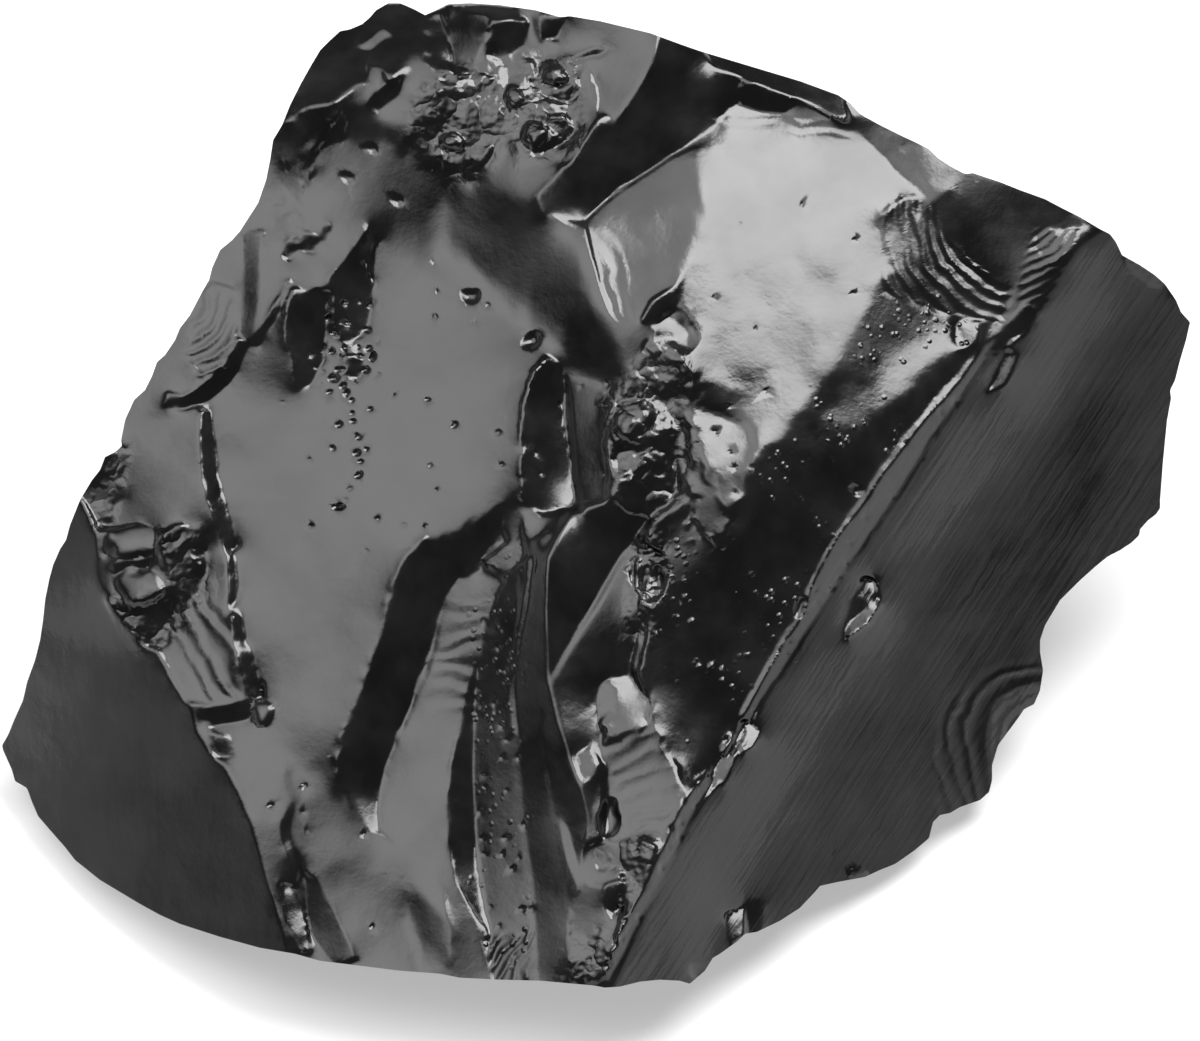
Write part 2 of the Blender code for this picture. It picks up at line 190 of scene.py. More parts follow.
def rough_noise(x: Array, y: Array, size: float, seed: int, layers: int = 4, fade: float = 0.5) -> Array:
    """Layered noise: each layer is half the size of the one before, and weaker.

    Args:
        x: drawing units right.
        y: drawing units down.
        size: drawing units between lattice values in the broadest layer.
        seed: start of the first layer's random draw; each later layer's is one more.
        layers: how many layers.
        fade: strength of each layer beside the one before.

    Returns:
        Values from -1 to 1.
    """
    total, strength = np.zeros(x.shape), 0.0
    for layer in range(layers):
        weight = fade ** layer
        total += weight * noise(x + LAYER_SHIFT[0] * layer, y + LAYER_SHIFT[1] * layer,
                                size / 2 ** layer, seed + layer)
        strength += weight
    return total / strength


def near_box(x: Array, y: Array, points: Outline, margin: float) -> Array:
    """Which places lie within a margin of the box round some drawing points."""
    xs, ys = zip(*points)
    return ((x > min(xs) - margin) & (x < max(xs) + margin)
            & (y > min(ys) - margin) & (y < max(ys) + margin))


# ---------------------------------------------------------------- fracture faces

@dataclass(frozen=True)
class Face:
    """One fracture face of the front.

    Tilts are degrees right and up from the drawing plane, and `turn` is how much they change
    from the middle of the face to its border. `soft` is how wide the border blends, `ledge`
    lets it break into a step, and `waver` and `fray` are how far broad and fine noise push it.
    """

    name: str
    tilt: Point
    outline: Outline
    soft: float = 6.0
    ledge: float = 0.0
    turn: Point = (0.0, 0.0)
    waver: float = 2.0
    fray: float = 0.0

    @property
    def margin(self) -> float:
        """How far outside its outline the face can reach."""
        return 2.0 * self.soft + 4.0 * self.waver + self.fray


# Outline of the stone, clockwise on the drawing.
OUTLINE: Outline = [
    (232, 240), (240, 231), (258, 203), (266, 180), (270, 160), (273, 140), (282, 125), (290, 105),
    (300, 85), (310, 67), (320, 50), (330, 40), (340, 31), (350, 29), (362, 24), (370, 17), (376, 10),
    (388, 3), (400, 3), (414, 9), (425, 15), (436, 10), (448, 4), (470, 3), (500, 5), (535, 10),
    (560, 17), (570, 16), (600, 21), (650, 33), (680, 44), (700, 51), (750, 66), (800, 81), (838, 95),
    (850, 103), (860, 114), (880, 125), (900, 135), (915, 142), (929, 149), (938, 158), (950, 166),
    (965, 174), (973, 173), (1000, 182), (1020, 190), (1045, 199), (1060, 207), (1080, 217),
    (1100, 229), (1110, 234), (1116, 242), (1122, 255), (1140, 265), (1155, 275), (1165, 284),
    (1176, 300), (1181, 312), (1190, 322), (1186, 340), (1180, 360), (1175, 380), (1170, 390),
    (1171, 398), (1167, 420), (1163, 460), (1160, 500), (1160, 508), (1156, 514), (1148, 520),
    (1140, 529), (1139, 535), (1132, 542), (1120, 550), (1108, 556), (1098, 564), (1080, 580),
    (1060, 600), (1045, 625), (1040, 640), (1040, 652), (1043, 670), (1040, 690), (1034, 704),
    (1024, 709), (1018, 718), (998, 745), (992, 765), (992, 780), (989, 792), (980, 800), (960, 807),
    (950, 813), (940, 815), (933, 822), (929, 838), (915, 850), (895, 864), (880, 870), (865, 877),
    (838, 882), (820, 886), (815, 892), (800, 908), (780, 921), (757, 932), (745, 934), (738, 941),
    (720, 954), (713, 958), (705, 971), (690, 984), (680, 981), (660, 980), (640, 982), (620, 987),
    (605, 988), (595, 986), (540, 981), (500, 980), (460, 978), (440, 974), (400, 971), (360, 966),
    (320, 961), (295, 954), (260, 948), (220, 937), (180, 924), (160, 915), (140, 904), (120, 892),
    (100, 880), (75, 860), (65, 847), (50, 830), (38, 816), (32, 802), (27, 788), (15, 781), (12, 770),
    (3, 750), (2, 745), (8, 735), (14, 720), (23, 700), (27, 682), (35, 660), (40, 640), (43, 620),
    (45, 600), (49, 580), (53, 565), (60, 549), (66, 540), (70, 525), (80, 500), (92, 480), (100, 470),
    (105, 457), (115, 452), (122, 446), (121, 440), (125, 420), (134, 400), (145, 390), (152, 376),
    (157, 362), (165, 355), (175, 340), (180, 328), (190, 315), (202, 292), (209, 280), (212, 268),
    (220, 250),
]


# Faces of the front, each laid over the ones before it: tilts in degrees, the rest in drawing units.
FACES: list[Face] = [
    # the broad faces
    Face("left_panel", (-19, 8), [
        (232, 240), (262, 230), (250, 300), (236, 350), (212, 405), (206, 440), (215, 480), (222, 500),
        (228, 530), (232, 600), (238, 660), (232, 690), (200, 720), (170, 680), (135, 640), (100, 590),
        (97, 530), (60, 500), (92, 440), (122, 400), (150, 350), (190, 290), (210, 240)],
        soft=8, ledge=0.35, turn=(6, 0)),
    Face("lower_left_run", (-11, 21), [
        (232, 690), (262, 700), (300, 800), (330, 850), (380, 900), (440, 970), (300, 1000), (285, 930),
        (265, 870), (240, 790), (215, 755), (200, 735)], soft=8, ledge=0.1),
    Face("grey_patch", (-31, 2), [
        (520, 8), (600, 15), (668, 30), (655, 60), (645, 80), (630, 95), (618, 118), (590, 150),
        (560, 165), (540, 150), (545, 60)], soft=8, ledge=0.3),
    Face("top_left", (2, 58), [
        (300, 60), (340, 20), (380, -10), (470, -10), (520, 0), (500, 40), (452, 60), (445, 20),
        (430, 20), (425, 60), (400, 75), (385, 82), (358, 82), (345, 93), (330, 105), (310, 110),
        (290, 118), (270, 130)], soft=3, ledge=0.8, waver=4, fray=6),
    Face("saddle", (-10, 20), [
        (414, 50), (436, 80), (446, 105), (430, 130), (400, 125), (370, 120), (345, 100), (365, 85),
        (400, 75)], soft=8, ledge=0.3),
    Face("upper_dark", (-38, 4), [
        (385, 130), (410, 150), (435, 165), (440, 200), (430, 240), (440, 260), (470, 280), (500, 300),
        (530, 340), (570, 370), (600, 395), (640, 390), (625, 340), (608, 312), (600, 285), (590, 240),
        (583, 225), (560, 218), (530, 200), (500, 180), (470, 185), (440, 160), (410, 135)],
        soft=22, ledge=0.3, waver=6, fray=8),
    Face("black_valley", (23, -5), [
        (604, 113), (590, 128), (578, 148), (564, 166), (552, 180), (541, 190), (536, 197), (546, 212),
        (565, 219), (584, 222), (598, 211), (607, 202), (617, 189), (644, 177), (664, 164), (687, 147),
        (718, 126), (728, 110), (750, 95), (735, 72), (700, 48), (662, 32), (657, 45), (653, 61),
        (644, 80), (630, 103), (617, 117)], soft=3, ledge=0.6, fray=2),
    Face("grey_triangle", (-6, 16), [
        (587, 222), (604, 205), (640, 178), (670, 158), (705, 143), (700, 200), (694, 240), (690, 262),
        (675, 285), (650, 300), (640, 320), (618, 325), (608, 312), (600, 285), (592, 255)],
        soft=3, ledge=0.85),
    Face("triangle_foot", (26, 2), [
        (640, 322), (652, 300), (676, 285), (690, 265), (684, 300), (672, 318), (655, 328)],
        soft=3, ledge=0.93),
    Face("dome_dark", (25, -1), [
        (690, 262), (905, 280), (965, 318), (1010, 312), (990, 330), (960, 372), (920, 420), (885, 465),
        (850, 515), (815, 575), (780, 645), (748, 700), (715, 760), (690, 790), (665, 750), (650, 722),
        (640, 690), (640, 640), (655, 600), (640, 555), (650, 520), (690, 500), (700, 470), (690, 420),
        (697, 400), (680, 370), (675, 330)], ledge=0.5, turn=(3, 3), fray=4),
    Face("dome_bright", (14, 28), [
        (738, 105), (750, 106), (790, 113), (820, 112), (850, 122), (870, 140), (885, 155), (900, 175),
        (912, 185), (920, 200), (905, 240), (880, 290), (865, 320), (850, 345), (840, 370), (815, 400),
        (790, 430), (770, 440), (755, 435), (750, 465), (740, 490), (730, 510), (715, 520), (700, 500),
        (700, 470), (690, 420), (697, 400), (680, 370), (675, 330), (683, 290), (690, 262), (697, 220),
        (700, 190), (703, 160), (708, 140), (720, 120)], soft=13, turn=(3, 3), waver=7, fray=7),
    Face("dome_fade", (18, 13), [
        (905, 240), (880, 290), (850, 345), (815, 400), (795, 440), (806, 470), (850, 440), (900, 400),
        (950, 350), (975, 325), (930, 300), (905, 270)], soft=16, fray=10),
    Face("top_sliver", (-35, 58), [
        (700, 45), (760, 60), (840, 90), (850, 122), (830, 115), (800, 100), (770, 90), (745, 82),
        (715, 66)], soft=3, ledge=0.9),
    Face("corner_black", (9, 4), [
        (850, 118), (872, 122), (905, 150), (930, 200), (950, 190), (945, 165), (925, 150), (960, 165),
        (1000, 180), (1070, 205), (1090, 235), (1070, 262), (1045, 300), (1030, 320), (1000, 318),
        (965, 318), (930, 300), (905, 285), (895, 262), (900, 230), (920, 200), (912, 185), (900, 175),
        (885, 155), (870, 140)], soft=4, ledge=0.6, fray=3),
    Face("corner_shell", (23, 2), [
        (896, 200), (918, 196), (944, 236), (966, 268), (1014, 292), (1002, 322), (965, 318), (930, 310),
        (900, 292), (884, 262), (880, 220)], soft=3, ledge=0.7, fray=3),
    Face("right_face", (37, -9), [
        (1120, 225), (1098, 232), (1080, 245), (1060, 270), (1045, 300), (1035, 325), (1010, 345),
        (985, 362), (960, 400), (930, 440), (905, 485), (880, 520), (858, 553), (838, 578), (815, 620),
        (790, 660), (770, 690), (755, 715), (735, 755), (710, 790), (690, 825), (670, 865), (650, 905),
        (632, 940), (618, 975), (605, 1000), (700, 1060), (1250, 1000), (1300, 150)],
        soft=4, turn=(-3, 3)),
    Face("ridge_bevel", (47, -10), [
        (1120, 225), (1098, 232), (1080, 245), (1060, 270), (1045, 300), (1035, 325), (1010, 345),
        (985, 362), (960, 400), (930, 440), (905, 485), (880, 520), (858, 553), (838, 578), (815, 620),
        (790, 660), (770, 690), (755, 715), (735, 755), (710, 790), (690, 825), (670, 865), (650, 905),
        (632, 940), (618, 975), (605, 1000), (700, 990), (760, 860), (880, 660), (1010, 470), (1110, 330)],
        soft=30),
    Face("ridge_strip", (57, -14), [
        (1045, 300), (1035, 315), (1010, 330), (985, 345), (960, 380), (920, 425), (905, 445), (885, 470),
        (870, 495), (850, 520), (830, 550), (815, 580), (800, 620), (780, 650), (765, 675), (748, 705),
        (738, 725), (715, 765), (695, 785), (680, 810), (665, 845), (650, 875), (638, 900), (625, 920),
        (610, 945), (600, 970), (610, 985), (622, 960), (640, 925), (655, 895), (672, 860), (690, 822),
        (712, 788), (735, 752), (755, 715), (770, 690), (790, 660), (815, 620), (838, 578), (858, 553),
        (880, 520), (905, 485), (930, 440), (960, 400), (985, 362), (1010, 345), (1035, 325)],
        soft=3, ledge=0.8, fray=2),
    Face("step_wall", (27, 6), [
        (505, 505), (480, 516), (460, 529), (430, 537), (413, 545), (400, 557), (394, 580), (386, 600),
        (381, 630), (374, 650), (366, 670), (358, 700), (344, 730), (337, 750), (337, 790), (347, 817),
        (380, 833), (380, 800), (390, 760), (405, 725), (415, 700), (428, 675), (435, 650), (440, 620),
        (445, 600), (460, 578), (480, 572), (480, 560), (490, 550), (505, 540)],
        soft=5, ledge=0.8, waver=4, fray=9),
    Face("leaf", (-6, 14), [
        (460, 580), (482, 574), (505, 578), (500, 600), (490, 630), (480, 660), (476, 700), (470, 720),
        (452, 745), (450, 830), (455, 880), (470, 900), (480, 925), (490, 975), (450, 985), (440, 975),
        (452, 960), (445, 890), (430, 870), (400, 850), (380, 830), (380, 800), (390, 760), (405, 725),
        (415, 700), (428, 675), (437, 640), (445, 605)], soft=4, ledge=0.8, turn=(7, 3)),
    Face("leaf_band", (29, 3), [
        (479, 655), (475, 700), (474, 770), (476, 872), (484, 906), (490, 940), (482, 925), (470, 905),
        (456, 880), (448, 850), (447, 800), (451, 760), (461, 720), (470, 680)],
        soft=3, ledge=0.93, fray=3),
    Face("grained_strip", (-22, 12), [
        (505, 575), (518, 560), (520, 633), (514, 696), (517, 760), (523, 823), (532, 886), (536, 990),
        (495, 990), (486, 906), (476, 823), (473, 772), (476, 696), (485, 633)],
        soft=3, ledge=0.85, turn=(5, -2), fray=2),
    Face("gully_left", (-28, 11), [
        (531, 540), (548, 560), (556, 620), (548, 685), (540, 730), (550, 790), (562, 860), (575, 930),
        (566, 985), (537, 985), (533, 886), (524, 823), (518, 760), (515, 696), (521, 633), (528, 585)],
        soft=4, ledge=0.5),
    Face("gully_right", (36, -10), [
        (545, 560), (570, 510), (600, 495), (640, 500), (650, 520), (625, 555), (600, 600), (575, 640),
        (555, 675), (548, 685), (545, 620)], ledge=0.75),
    Face("fork_right", (25, 8), [
        (625, 555), (640, 560), (650, 610), (640, 650), (630, 690), (610, 720), (600, 745), (602, 785),
        (590, 820), (575, 770), (560, 730), (548, 685), (555, 675), (575, 640), (600, 600)],
        soft=5, ledge=0.3),
    Face("fork_low", (-30, 11), [
        (548, 685), (560, 730), (575, 770), (590, 820), (580, 880), (572, 930), (560, 860), (550, 790),
        (541, 730)], soft=3, ledge=0.5),
    Face("hollow_wall", (37, -16), [
        (532, 370), (523, 400), (519, 440), (519, 500), (545, 514), (582, 510), (573, 470), (567, 430),
        (567, 385), (562, 366), (545, 356)], soft=3, ledge=0.93, fray=4, turn=(0, 2)),
    Face("column", (-22, 12), [
        (566, 376), (600, 385), (612, 400), (608, 450), (605, 500), (580, 505), (574, 470), (570, 410)],
        ledge=0.93),
    Face("knob_zone", (26, 8), [
        (612, 395), (655, 390), (685, 430), (690, 490), (650, 520), (615, 500), (606, 450)],
        soft=5, ledge=0.9, fray=8),
    Face("striped_foot", (-8, 14), [
        (600, 745), (640, 730), (652, 722), (667, 750), (682, 775), (688, 795), (672, 810), (652, 830),
        (635, 838), (625, 810), (605, 785)], soft=3, ledge=0.8, waver=5, fray=7),
    Face("foot_grey", (-8, 19), [
        (585, 845), (640, 838), (665, 842), (650, 875), (625, 920), (600, 985), (570, 985), (572, 930),
        (580, 890)], soft=4, ledge=0.95, waver=5, fray=6),
    Face("fork_chip", (14, 35), [
        (600, 690), (612, 678), (634, 676), (648, 700), (650, 722), (636, 734), (604, 744), (600, 720)],
        soft=3, ledge=0.95, waver=6, fray=9),
    # pits of the shoulder and the upper left edge
    Face("shoulder_pit_low", (29, 0), [
        (292, 287), (330, 290), (327, 330), (320, 370), (312, 388), (298, 385), (288, 350), (284, 330),
        (287, 300)], soft=3, ledge=0.95, fray=6),
    Face("shoulder_pit_high", (29, 0), [
        (367, 225), (374, 235), (370, 253), (377, 282), (375, 300), (368, 324), (354, 347), (341, 347),
        (334, 329), (331, 300), (328, 286), (336, 270), (350, 256), (360, 240)],
        soft=3, ledge=0.95, fray=8),
    Face("shoulder_pit_end", (20, -8), [
        (340, 350), (368, 356), (360, 378), (346, 380)], soft=3, ledge=0.95, fray=7),
    Face("shoulder_rim", (-6, -16), [
        (341, 113), (348, 122), (342, 137), (322, 143), (316, 151), (311, 163), (311, 178), (298, 198),
        (291, 190), (298, 164), (300, 148), (310, 140), (329, 131), (336, 122)],
        soft=3, ledge=0.95, fray=3),
    Face("edge_pit_a", (-6, -16), [
        (286, 236), (298, 234), (300, 246), (290, 262), (282, 256)], soft=3, ledge=0.95, fray=3),
    Face("edge_pit_b", (-6, -16), [
        (304, 230), (320, 235), (315, 254), (302, 251)], soft=3, ledge=0.95, fray=3),
    Face("edge_pit_c", (-6, -16), [
        (325, 221), (332, 226), (327, 247), (319, 241)], soft=3, ledge=0.95, fray=3),
    # shards, notches and rings of the top
    Face("shard_a", (-4, 18), [
        (363, 47), (382, 27), (388, 36), (373, 51)], soft=2, ledge=0.95, fray=2),
    Face("shard_b", (-4, 18), [
        (366, 66), (380, 70), (388, 84), (376, 90), (368, 78)], soft=2, ledge=0.95, fray=2),
    Face("tooth", (-6, -16), [
        (381, 86), (404, 76), (397, 95), (378, 113), (369, 104)], soft=2, ledge=0.95, fray=3),
    Face("black_tongue", (-4, 58), [
        (430, 20), (442, 15), (447, 38), (443, 54), (449, 72), (444, 96), (436, 92), (430, 61)],
        soft=3, ledge=0.9, fray=3),
    Face("top_dim", (-35, 4), [
        (450, 10), (488, 15), (485, 48), (470, 66), (454, 72), (449, 40)], soft=4, ledge=0.9, fray=5),
    Face("top_black", (4, -15), [
        (489, 20), (526, 22), (521, 46), (506, 64), (486, 57)], soft=3, ledge=0.95, fray=4),
    Face("top_notch", (4, -15), [
        (541, 16), (563, 20), (558, 42), (542, 40)], soft=3, ledge=0.95, fray=4),
    Face("knob_hem", (8, -14), [
        (434, 156), (445, 172), (462, 177), (491, 163), (502, 138), (494, 134), (484, 152), (462, 162),
        (448, 158), (442, 148)], soft=2, ledge=0.95, fray=3),
    Face("ring_upper", (-6, -16), [
        (524, 60), (530, 84), (548, 100), (569, 104), (581, 90), (578, 79), (564, 87), (546, 87),
        (536, 76), (534, 59)], soft=2, ledge=0.95, fray=2),
    Face("ring_lower", (6, -24), [
        (533, 122), (543, 114), (566, 114), (577, 130), (567, 144), (547, 153), (528, 153), (546, 145),
        (552, 132), (545, 122)], soft=2, ledge=0.97, fray=3),
    Face("ring_left", (-6, -16), [
        (507, 115), (520, 122), (518, 140), (523, 153), (513, 154), (508, 136)],
        soft=2, ledge=0.95, fray=3),
    Face("top_pocket", (4, -15), [
        (737, 86), (760, 85), (793, 102), (788, 113), (760, 111), (742, 105)],
        soft=3, ledge=0.95, fray=3),
    # chips of the upper right corner and the right face
    Face("corner_chip", (-1, 24), [
        (904, 142), (926, 146), (951, 167), (953, 188), (936, 193), (918, 170), (901, 152)],
        soft=2, ledge=0.95, fray=3),
    Face("corner_stripes", (-2, 14), [
        (1034, 229), (1077, 231), (1070, 254), (1048, 263), (1036, 250)], soft=3, ledge=0.95, fray=6),
    Face("notch_chip", (-10, 20), [
        (953, 321), (979, 323), (977, 345), (957, 347)], soft=2, ledge=0.95, fray=3),
    Face("notch_dark", (4, -15), [
        (983, 357), (1004, 329), (1024, 303), (1038, 309), (1027, 331), (1004, 346)],
        soft=2, ledge=0.95, fray=3),
    Face("flake_high", (-4, 20), [
        (987, 391), (995, 375), (1010, 352), (1018, 354), (1012, 371), (1005, 389)],
        soft=2, ledge=0.99, fray=1),
    Face("flake_mid", (20, 56), [
        (862, 578), (875, 580), (880, 605), (869, 623), (845, 640), (852, 622), (862, 610)],
        soft=1.5, ledge=0.99, fray=2),
    Face("flake_mid_dark", (25, -5), [
        (851, 603), (861, 588), (863, 608), (850, 622), (845, 636)], soft=2, ledge=0.95, fray=2),
    Face("flake_low", (6, 34), [
        (722, 914), (744, 905), (746, 937), (731, 942)], soft=2, ledge=0.99, fray=2),
    Face("flake_low_dark", (20, -10), [
        (746, 899), (766, 904), (763, 930), (748, 936)], soft=2, ledge=0.95, fray=3),
    Face("rim_sliver", (52, -30), [
        (1120, 244), (1147, 256), (1172, 292), (1152, 286), (1130, 266)], soft=2, ledge=0.95, fray=2),
    # blade, brow and chips, from the middle down to the foot
    Face("blade", (-4, 14), [
        (524, 540), (531, 541), (535, 564), (531, 596), (524, 634), (519, 666), (516, 697), (519, 735),
        (512, 735), (509, 697), (512, 664), (517, 630), (523, 594), (526, 566)],
        soft=2, ledge=0.9, fray=1),
    Face("brow", (10, 16), [
        (484, 561), (505, 545), (524, 543), (526, 556), (516, 568), (494, 572)],
        soft=2, ledge=0.98, fray=2),
    Face("brow_knob", (-6, 15), [
        (521, 516), (540, 513), (546, 530), (536, 541), (523, 537)], soft=4, ledge=0.95, fray=3),
    Face("scar_arc_a", (36, 50), [
        (634, 562), (648, 545), (664, 556), (654, 562), (646, 574), (642, 596), (634, 588)],
        soft=1.5, ledge=0.99, fray=4),
    Face("scar_arc_b", (34, 38), [
        (650, 578), (662, 570), (664, 590), (650, 606), (640, 604)], soft=1.5, ledge=0.99, fray=4),
    Face("splinter", (6, 20), [
        (640, 628), (647, 631), (639, 668), (631, 674)], soft=2, ledge=0.98, fray=2),
    Face("chip_low", (-6, 14), [
        (597, 700), (608, 684), (616, 690), (612, 710), (600, 720)], soft=2, ledge=0.95, fray=7, waver=5),
    Face("knob_low", (-4, 16), [
        (576, 754), (590, 745), (599, 756), (597, 778), (582, 783)], soft=3, ledge=0.95, fray=7, waver=5),
    Face("crack_low", (32, 2), [
        (598, 762), (606, 766), (609, 800), (606, 842), (598, 838), (600, 800)],
        soft=2, ledge=0.95, fray=3),
    Face("shell_low", (-20, 10), [
        (571, 906), (581, 880), (601, 883), (615, 905), (612, 930), (591, 943), (573, 937)],
        soft=3, ledge=0.95, fray=7, waver=5),
    Face("shell_lower", (-25, 8), [
        (588, 843), (640, 838), (656, 848), (640, 881), (618, 870), (600, 869)],
        soft=3, ledge=0.95, fray=7, waver=5),
    Face("pocket_low", (4, -15), [
        (602, 884), (622, 878), (628, 905), (612, 920), (604, 905)], soft=3, ledge=0.95, fray=3),
    Face("lip_low", (-6, 16), [
        (560, 822), (566, 823), (576, 862), (584, 884), (577, 884), (568, 862)],
        soft=2, ledge=0.95, fray=1),
    # chips, grooves and pockets of the left edge, with the barrel and the claw
    Face("left_chip_light", (-16, 14), [
        (199, 297), (214, 283), (233, 290), (237, 320), (227, 357), (206, 378), (190, 362), (193, 320)],
        soft=4, ledge=0.95, fray=3),
    Face("left_chip_black", (16, -12), [
        (166, 391), (184, 394), (208, 382), (226, 360), (237, 338), (249, 344), (235, 377), (209, 402),
        (182, 413), (162, 407)], soft=2, ledge=0.95, fray=3),
    Face("left_chip_band", (-31, 10), [
        (241, 236), (263, 230), (259, 280), (249, 341), (238, 338), (244, 290)],
        soft=3, ledge=0.95, fray=3),
    Face("left_stroke", (4, -15), [
        (286, 279), (295, 279), (287, 300), (275, 323), (259, 348), (251, 342), (265, 321), (278, 298)],
        soft=2, ledge=0.95, fray=3),
    Face("left_groove", (38, -24), [
        (200, 410), (208, 410), (215, 445), (218, 480), (229, 516), (240, 546), (230, 554), (219, 533),
        (209, 505), (203, 480), (200, 445)], soft=3, ledge=0.97, fray=2),
    Face("left_crack", (32, -5), [
        (227, 552), (235, 556), (238, 602), (230, 606), (228, 575)], soft=2, ledge=0.95, fray=3),
    Face("left_wedge", (42, -26), [
        (231, 615), (240, 617), (249, 648), (262, 684), (264, 702), (250, 696), (239, 668), (233, 640)],
        soft=3, ledge=0.98, fray=3),
    Face("left_shelf", (10, -14), [
        (180, 699), (210, 705), (250, 702), (254, 722), (212, 728), (185, 713)],
        soft=2, ledge=0.95, fray=4),
    Face("left_spot", (-6, -16), [
        (206, 731), (229, 736), (234, 758), (217, 758)], soft=2, ledge=0.95, fray=4),
    Face("pocket_a", (16, -10), [
        (158, 529), (180, 524), (206, 531), (207, 576), (188, 602), (170, 582), (160, 556)],
        soft=3, ledge=0.95, fray=9),
    Face("pocket_b", (10, -12), [
        (100, 596), (130, 600), (165, 588), (177, 606), (166, 642), (140, 652), (116, 628)],
        soft=3, ledge=0.95, fray=9),
    Face("rough_chip", (-6, -16), [
        (88, 452), (121, 445), (126, 490), (112, 518), (96, 524), (84, 500)],
        soft=3, ledge=0.95, fray=18),
    Face("barrel", (-5, 20), [
        (112, 528), (151, 525), (158, 536), (154, 557), (120, 561), (107, 545)],
        soft=4, ledge=0.95, fray=1),
    Face("barrel_hole", (-6, -16), [
        (99, 531), (113, 531), (116, 552), (103, 559)], soft=2, ledge=0.95, fray=2),
    Face("claw", (-18, 14), [
        (103, 562), (118, 576), (140, 578), (159, 560), (165, 578), (153, 597), (130, 602), (111, 591)],
        soft=3, ledge=0.95, fray=1),
    Face("claw_gap", (10, -14), [
        (111, 562), (152, 557), (149, 569), (130, 574), (115, 571)], soft=2, ledge=0.95, fray=1),
    # cracks and streaks of the lower left
    Face("low_crack_a", (32, 2), [
        (281, 765), (290, 769), (301, 800), (289, 827), (282, 822), (292, 800)],
        soft=2, ledge=0.95, fray=4),
    Face("low_crack_b", (32, 2), [
        (278, 820), (290, 821), (299, 850), (306, 872), (298, 882), (287, 857)],
        soft=2, ledge=0.95, fray=3),
    Face("low_wedge", (-30, 16), [
        (303, 871), (317, 879), (333, 905), (347, 936), (358, 960), (340, 964), (322, 952), (310, 940),
        (304, 910)], soft=3, ledge=0.97, fray=2),
    Face("low_streak", (0, 42), [
        (280, 884), (296, 887), (306, 920), (313, 953), (300, 954), (289, 930)],
        soft=2, ledge=0.98, fray=2),
    Face("low_speckled", (-30, 10), [
        (411, 885), (437, 898), (451, 925), (454, 970), (420, 968), (407, 920)],
        soft=8, ledge=0.3, fray=7),
    # knobs of the middle, and eaten ground
    Face("knob_mid", (6, 30), [
        (616, 402), (640, 397), (656, 410), (655, 430), (637, 441), (617, 433)],
        soft=3, ledge=0.97, waver=4, fray=6),
    Face("knob_shade", (-24, 4), [
        (648, 334), (676, 344), (691, 380), (699, 420), (703, 470), (691, 500), (676, 500), (690, 450),
        (676, 400), (655, 372), (643, 350)], soft=3, ledge=0.9, fray=10),
    Face("knob_hook", (-4, 15), [
        (676, 437), (686, 441), (690, 470), (684, 484), (678, 470)], soft=2, ledge=0.95, fray=3),
    Face("knob_chip", (-4, 15), [
        (617, 456), (641, 451), (643, 469), (622, 471)], soft=2, ledge=0.95, fray=3),
    Face("knob_crescent", (10, -14), [
        (611, 419), (620, 437), (640, 445), (659, 431), (662, 443), (640, 456), (614, 448)],
        soft=2, ledge=0.95, fray=2),
    Face("knob_crumble", (-12, -6), [
        (414, 130), (440, 84), (500, 70), (506, 120), (492, 160), (458, 176), (430, 160)],
        soft=2, ledge=0.95, waver=6, fray=34),
    Face("ring_crumble", (-20, 4), [
        (500, 90), (530, 100), (540, 112), (520, 130), (505, 150), (498, 120)],
        soft=2, ledge=0.95, waver=4, fray=26),
    Face("left_crumble", (-22, 12), [
        (290, 150), (318, 134), (326, 130), (310, 160), (296, 200), (286, 240), (280, 245)],
        soft=2, ledge=0.95, waver=4, fray=30),
    Face("drop_edge_crumble", (-8, 24), [
        (690, 400), (700, 390), (706, 470), (730, 520), (715, 545), (690, 520)],
        soft=2, ledge=0.9, waver=4, fray=10),
    # spikes, chips and drips over the broad faces, and the face that ends them at the lower left
    Face("valley_spike", (-30, 8), [
        (592, 74), (599, 98), (598, 118), (586, 140), (572, 160), (560, 166), (574, 143), (586, 118),
        (590, 98)], soft=2, ledge=0.93, fray=2),
    Face("patch_crack", (-6, -16), [
        (566, 57), (600, 47), (613, 50), (600, 55), (570, 63)], soft=2, ledge=0.93, fray=2),
    Face("ridge_chip_a", (10, 44), [
        (742, 722), (756, 724), (760, 734), (754, 750), (742, 755), (737, 742)],
        soft=2, ledge=0.98, fray=2),
    Face("ridge_chip_b", (4, 30), [
        (720, 756), (733, 753), (734, 764), (724, 786), (714, 784), (713, 770)],
        soft=2, ledge=0.98, fray=2),
    Face("dome_drip", (15, 38), [
        (688, 402), (712, 408), (745, 425), (752, 462), (742, 492), (731, 520), (722, 500), (713, 474),
        (702, 462), (694, 432)], soft=4, ledge=0.55, fray=7),
    Face("body_foot", (-9, 27), [
        (284, 758), (320, 772), (352, 812), (372, 845), (330, 880), (290, 845)],
        soft=13, ledge=0.15, fray=3),
    Face("lower_left_face", (-40, -4), [
        (60, 470), (85, 505), (97, 530), (100, 560), (95, 575), (105, 600), (115, 620), (135, 640),
        (160, 650), (175, 680), (195, 715), (200, 735), (215, 755), (228, 765), (240, 790), (255, 830),
        (265, 870), (275, 900), (285, 930), (295, 975), (200, 1020), (-40, 930), (-60, 600), (30, 480)],
        soft=4, ledge=0.88, turn=(6, -7), fray=2),
]


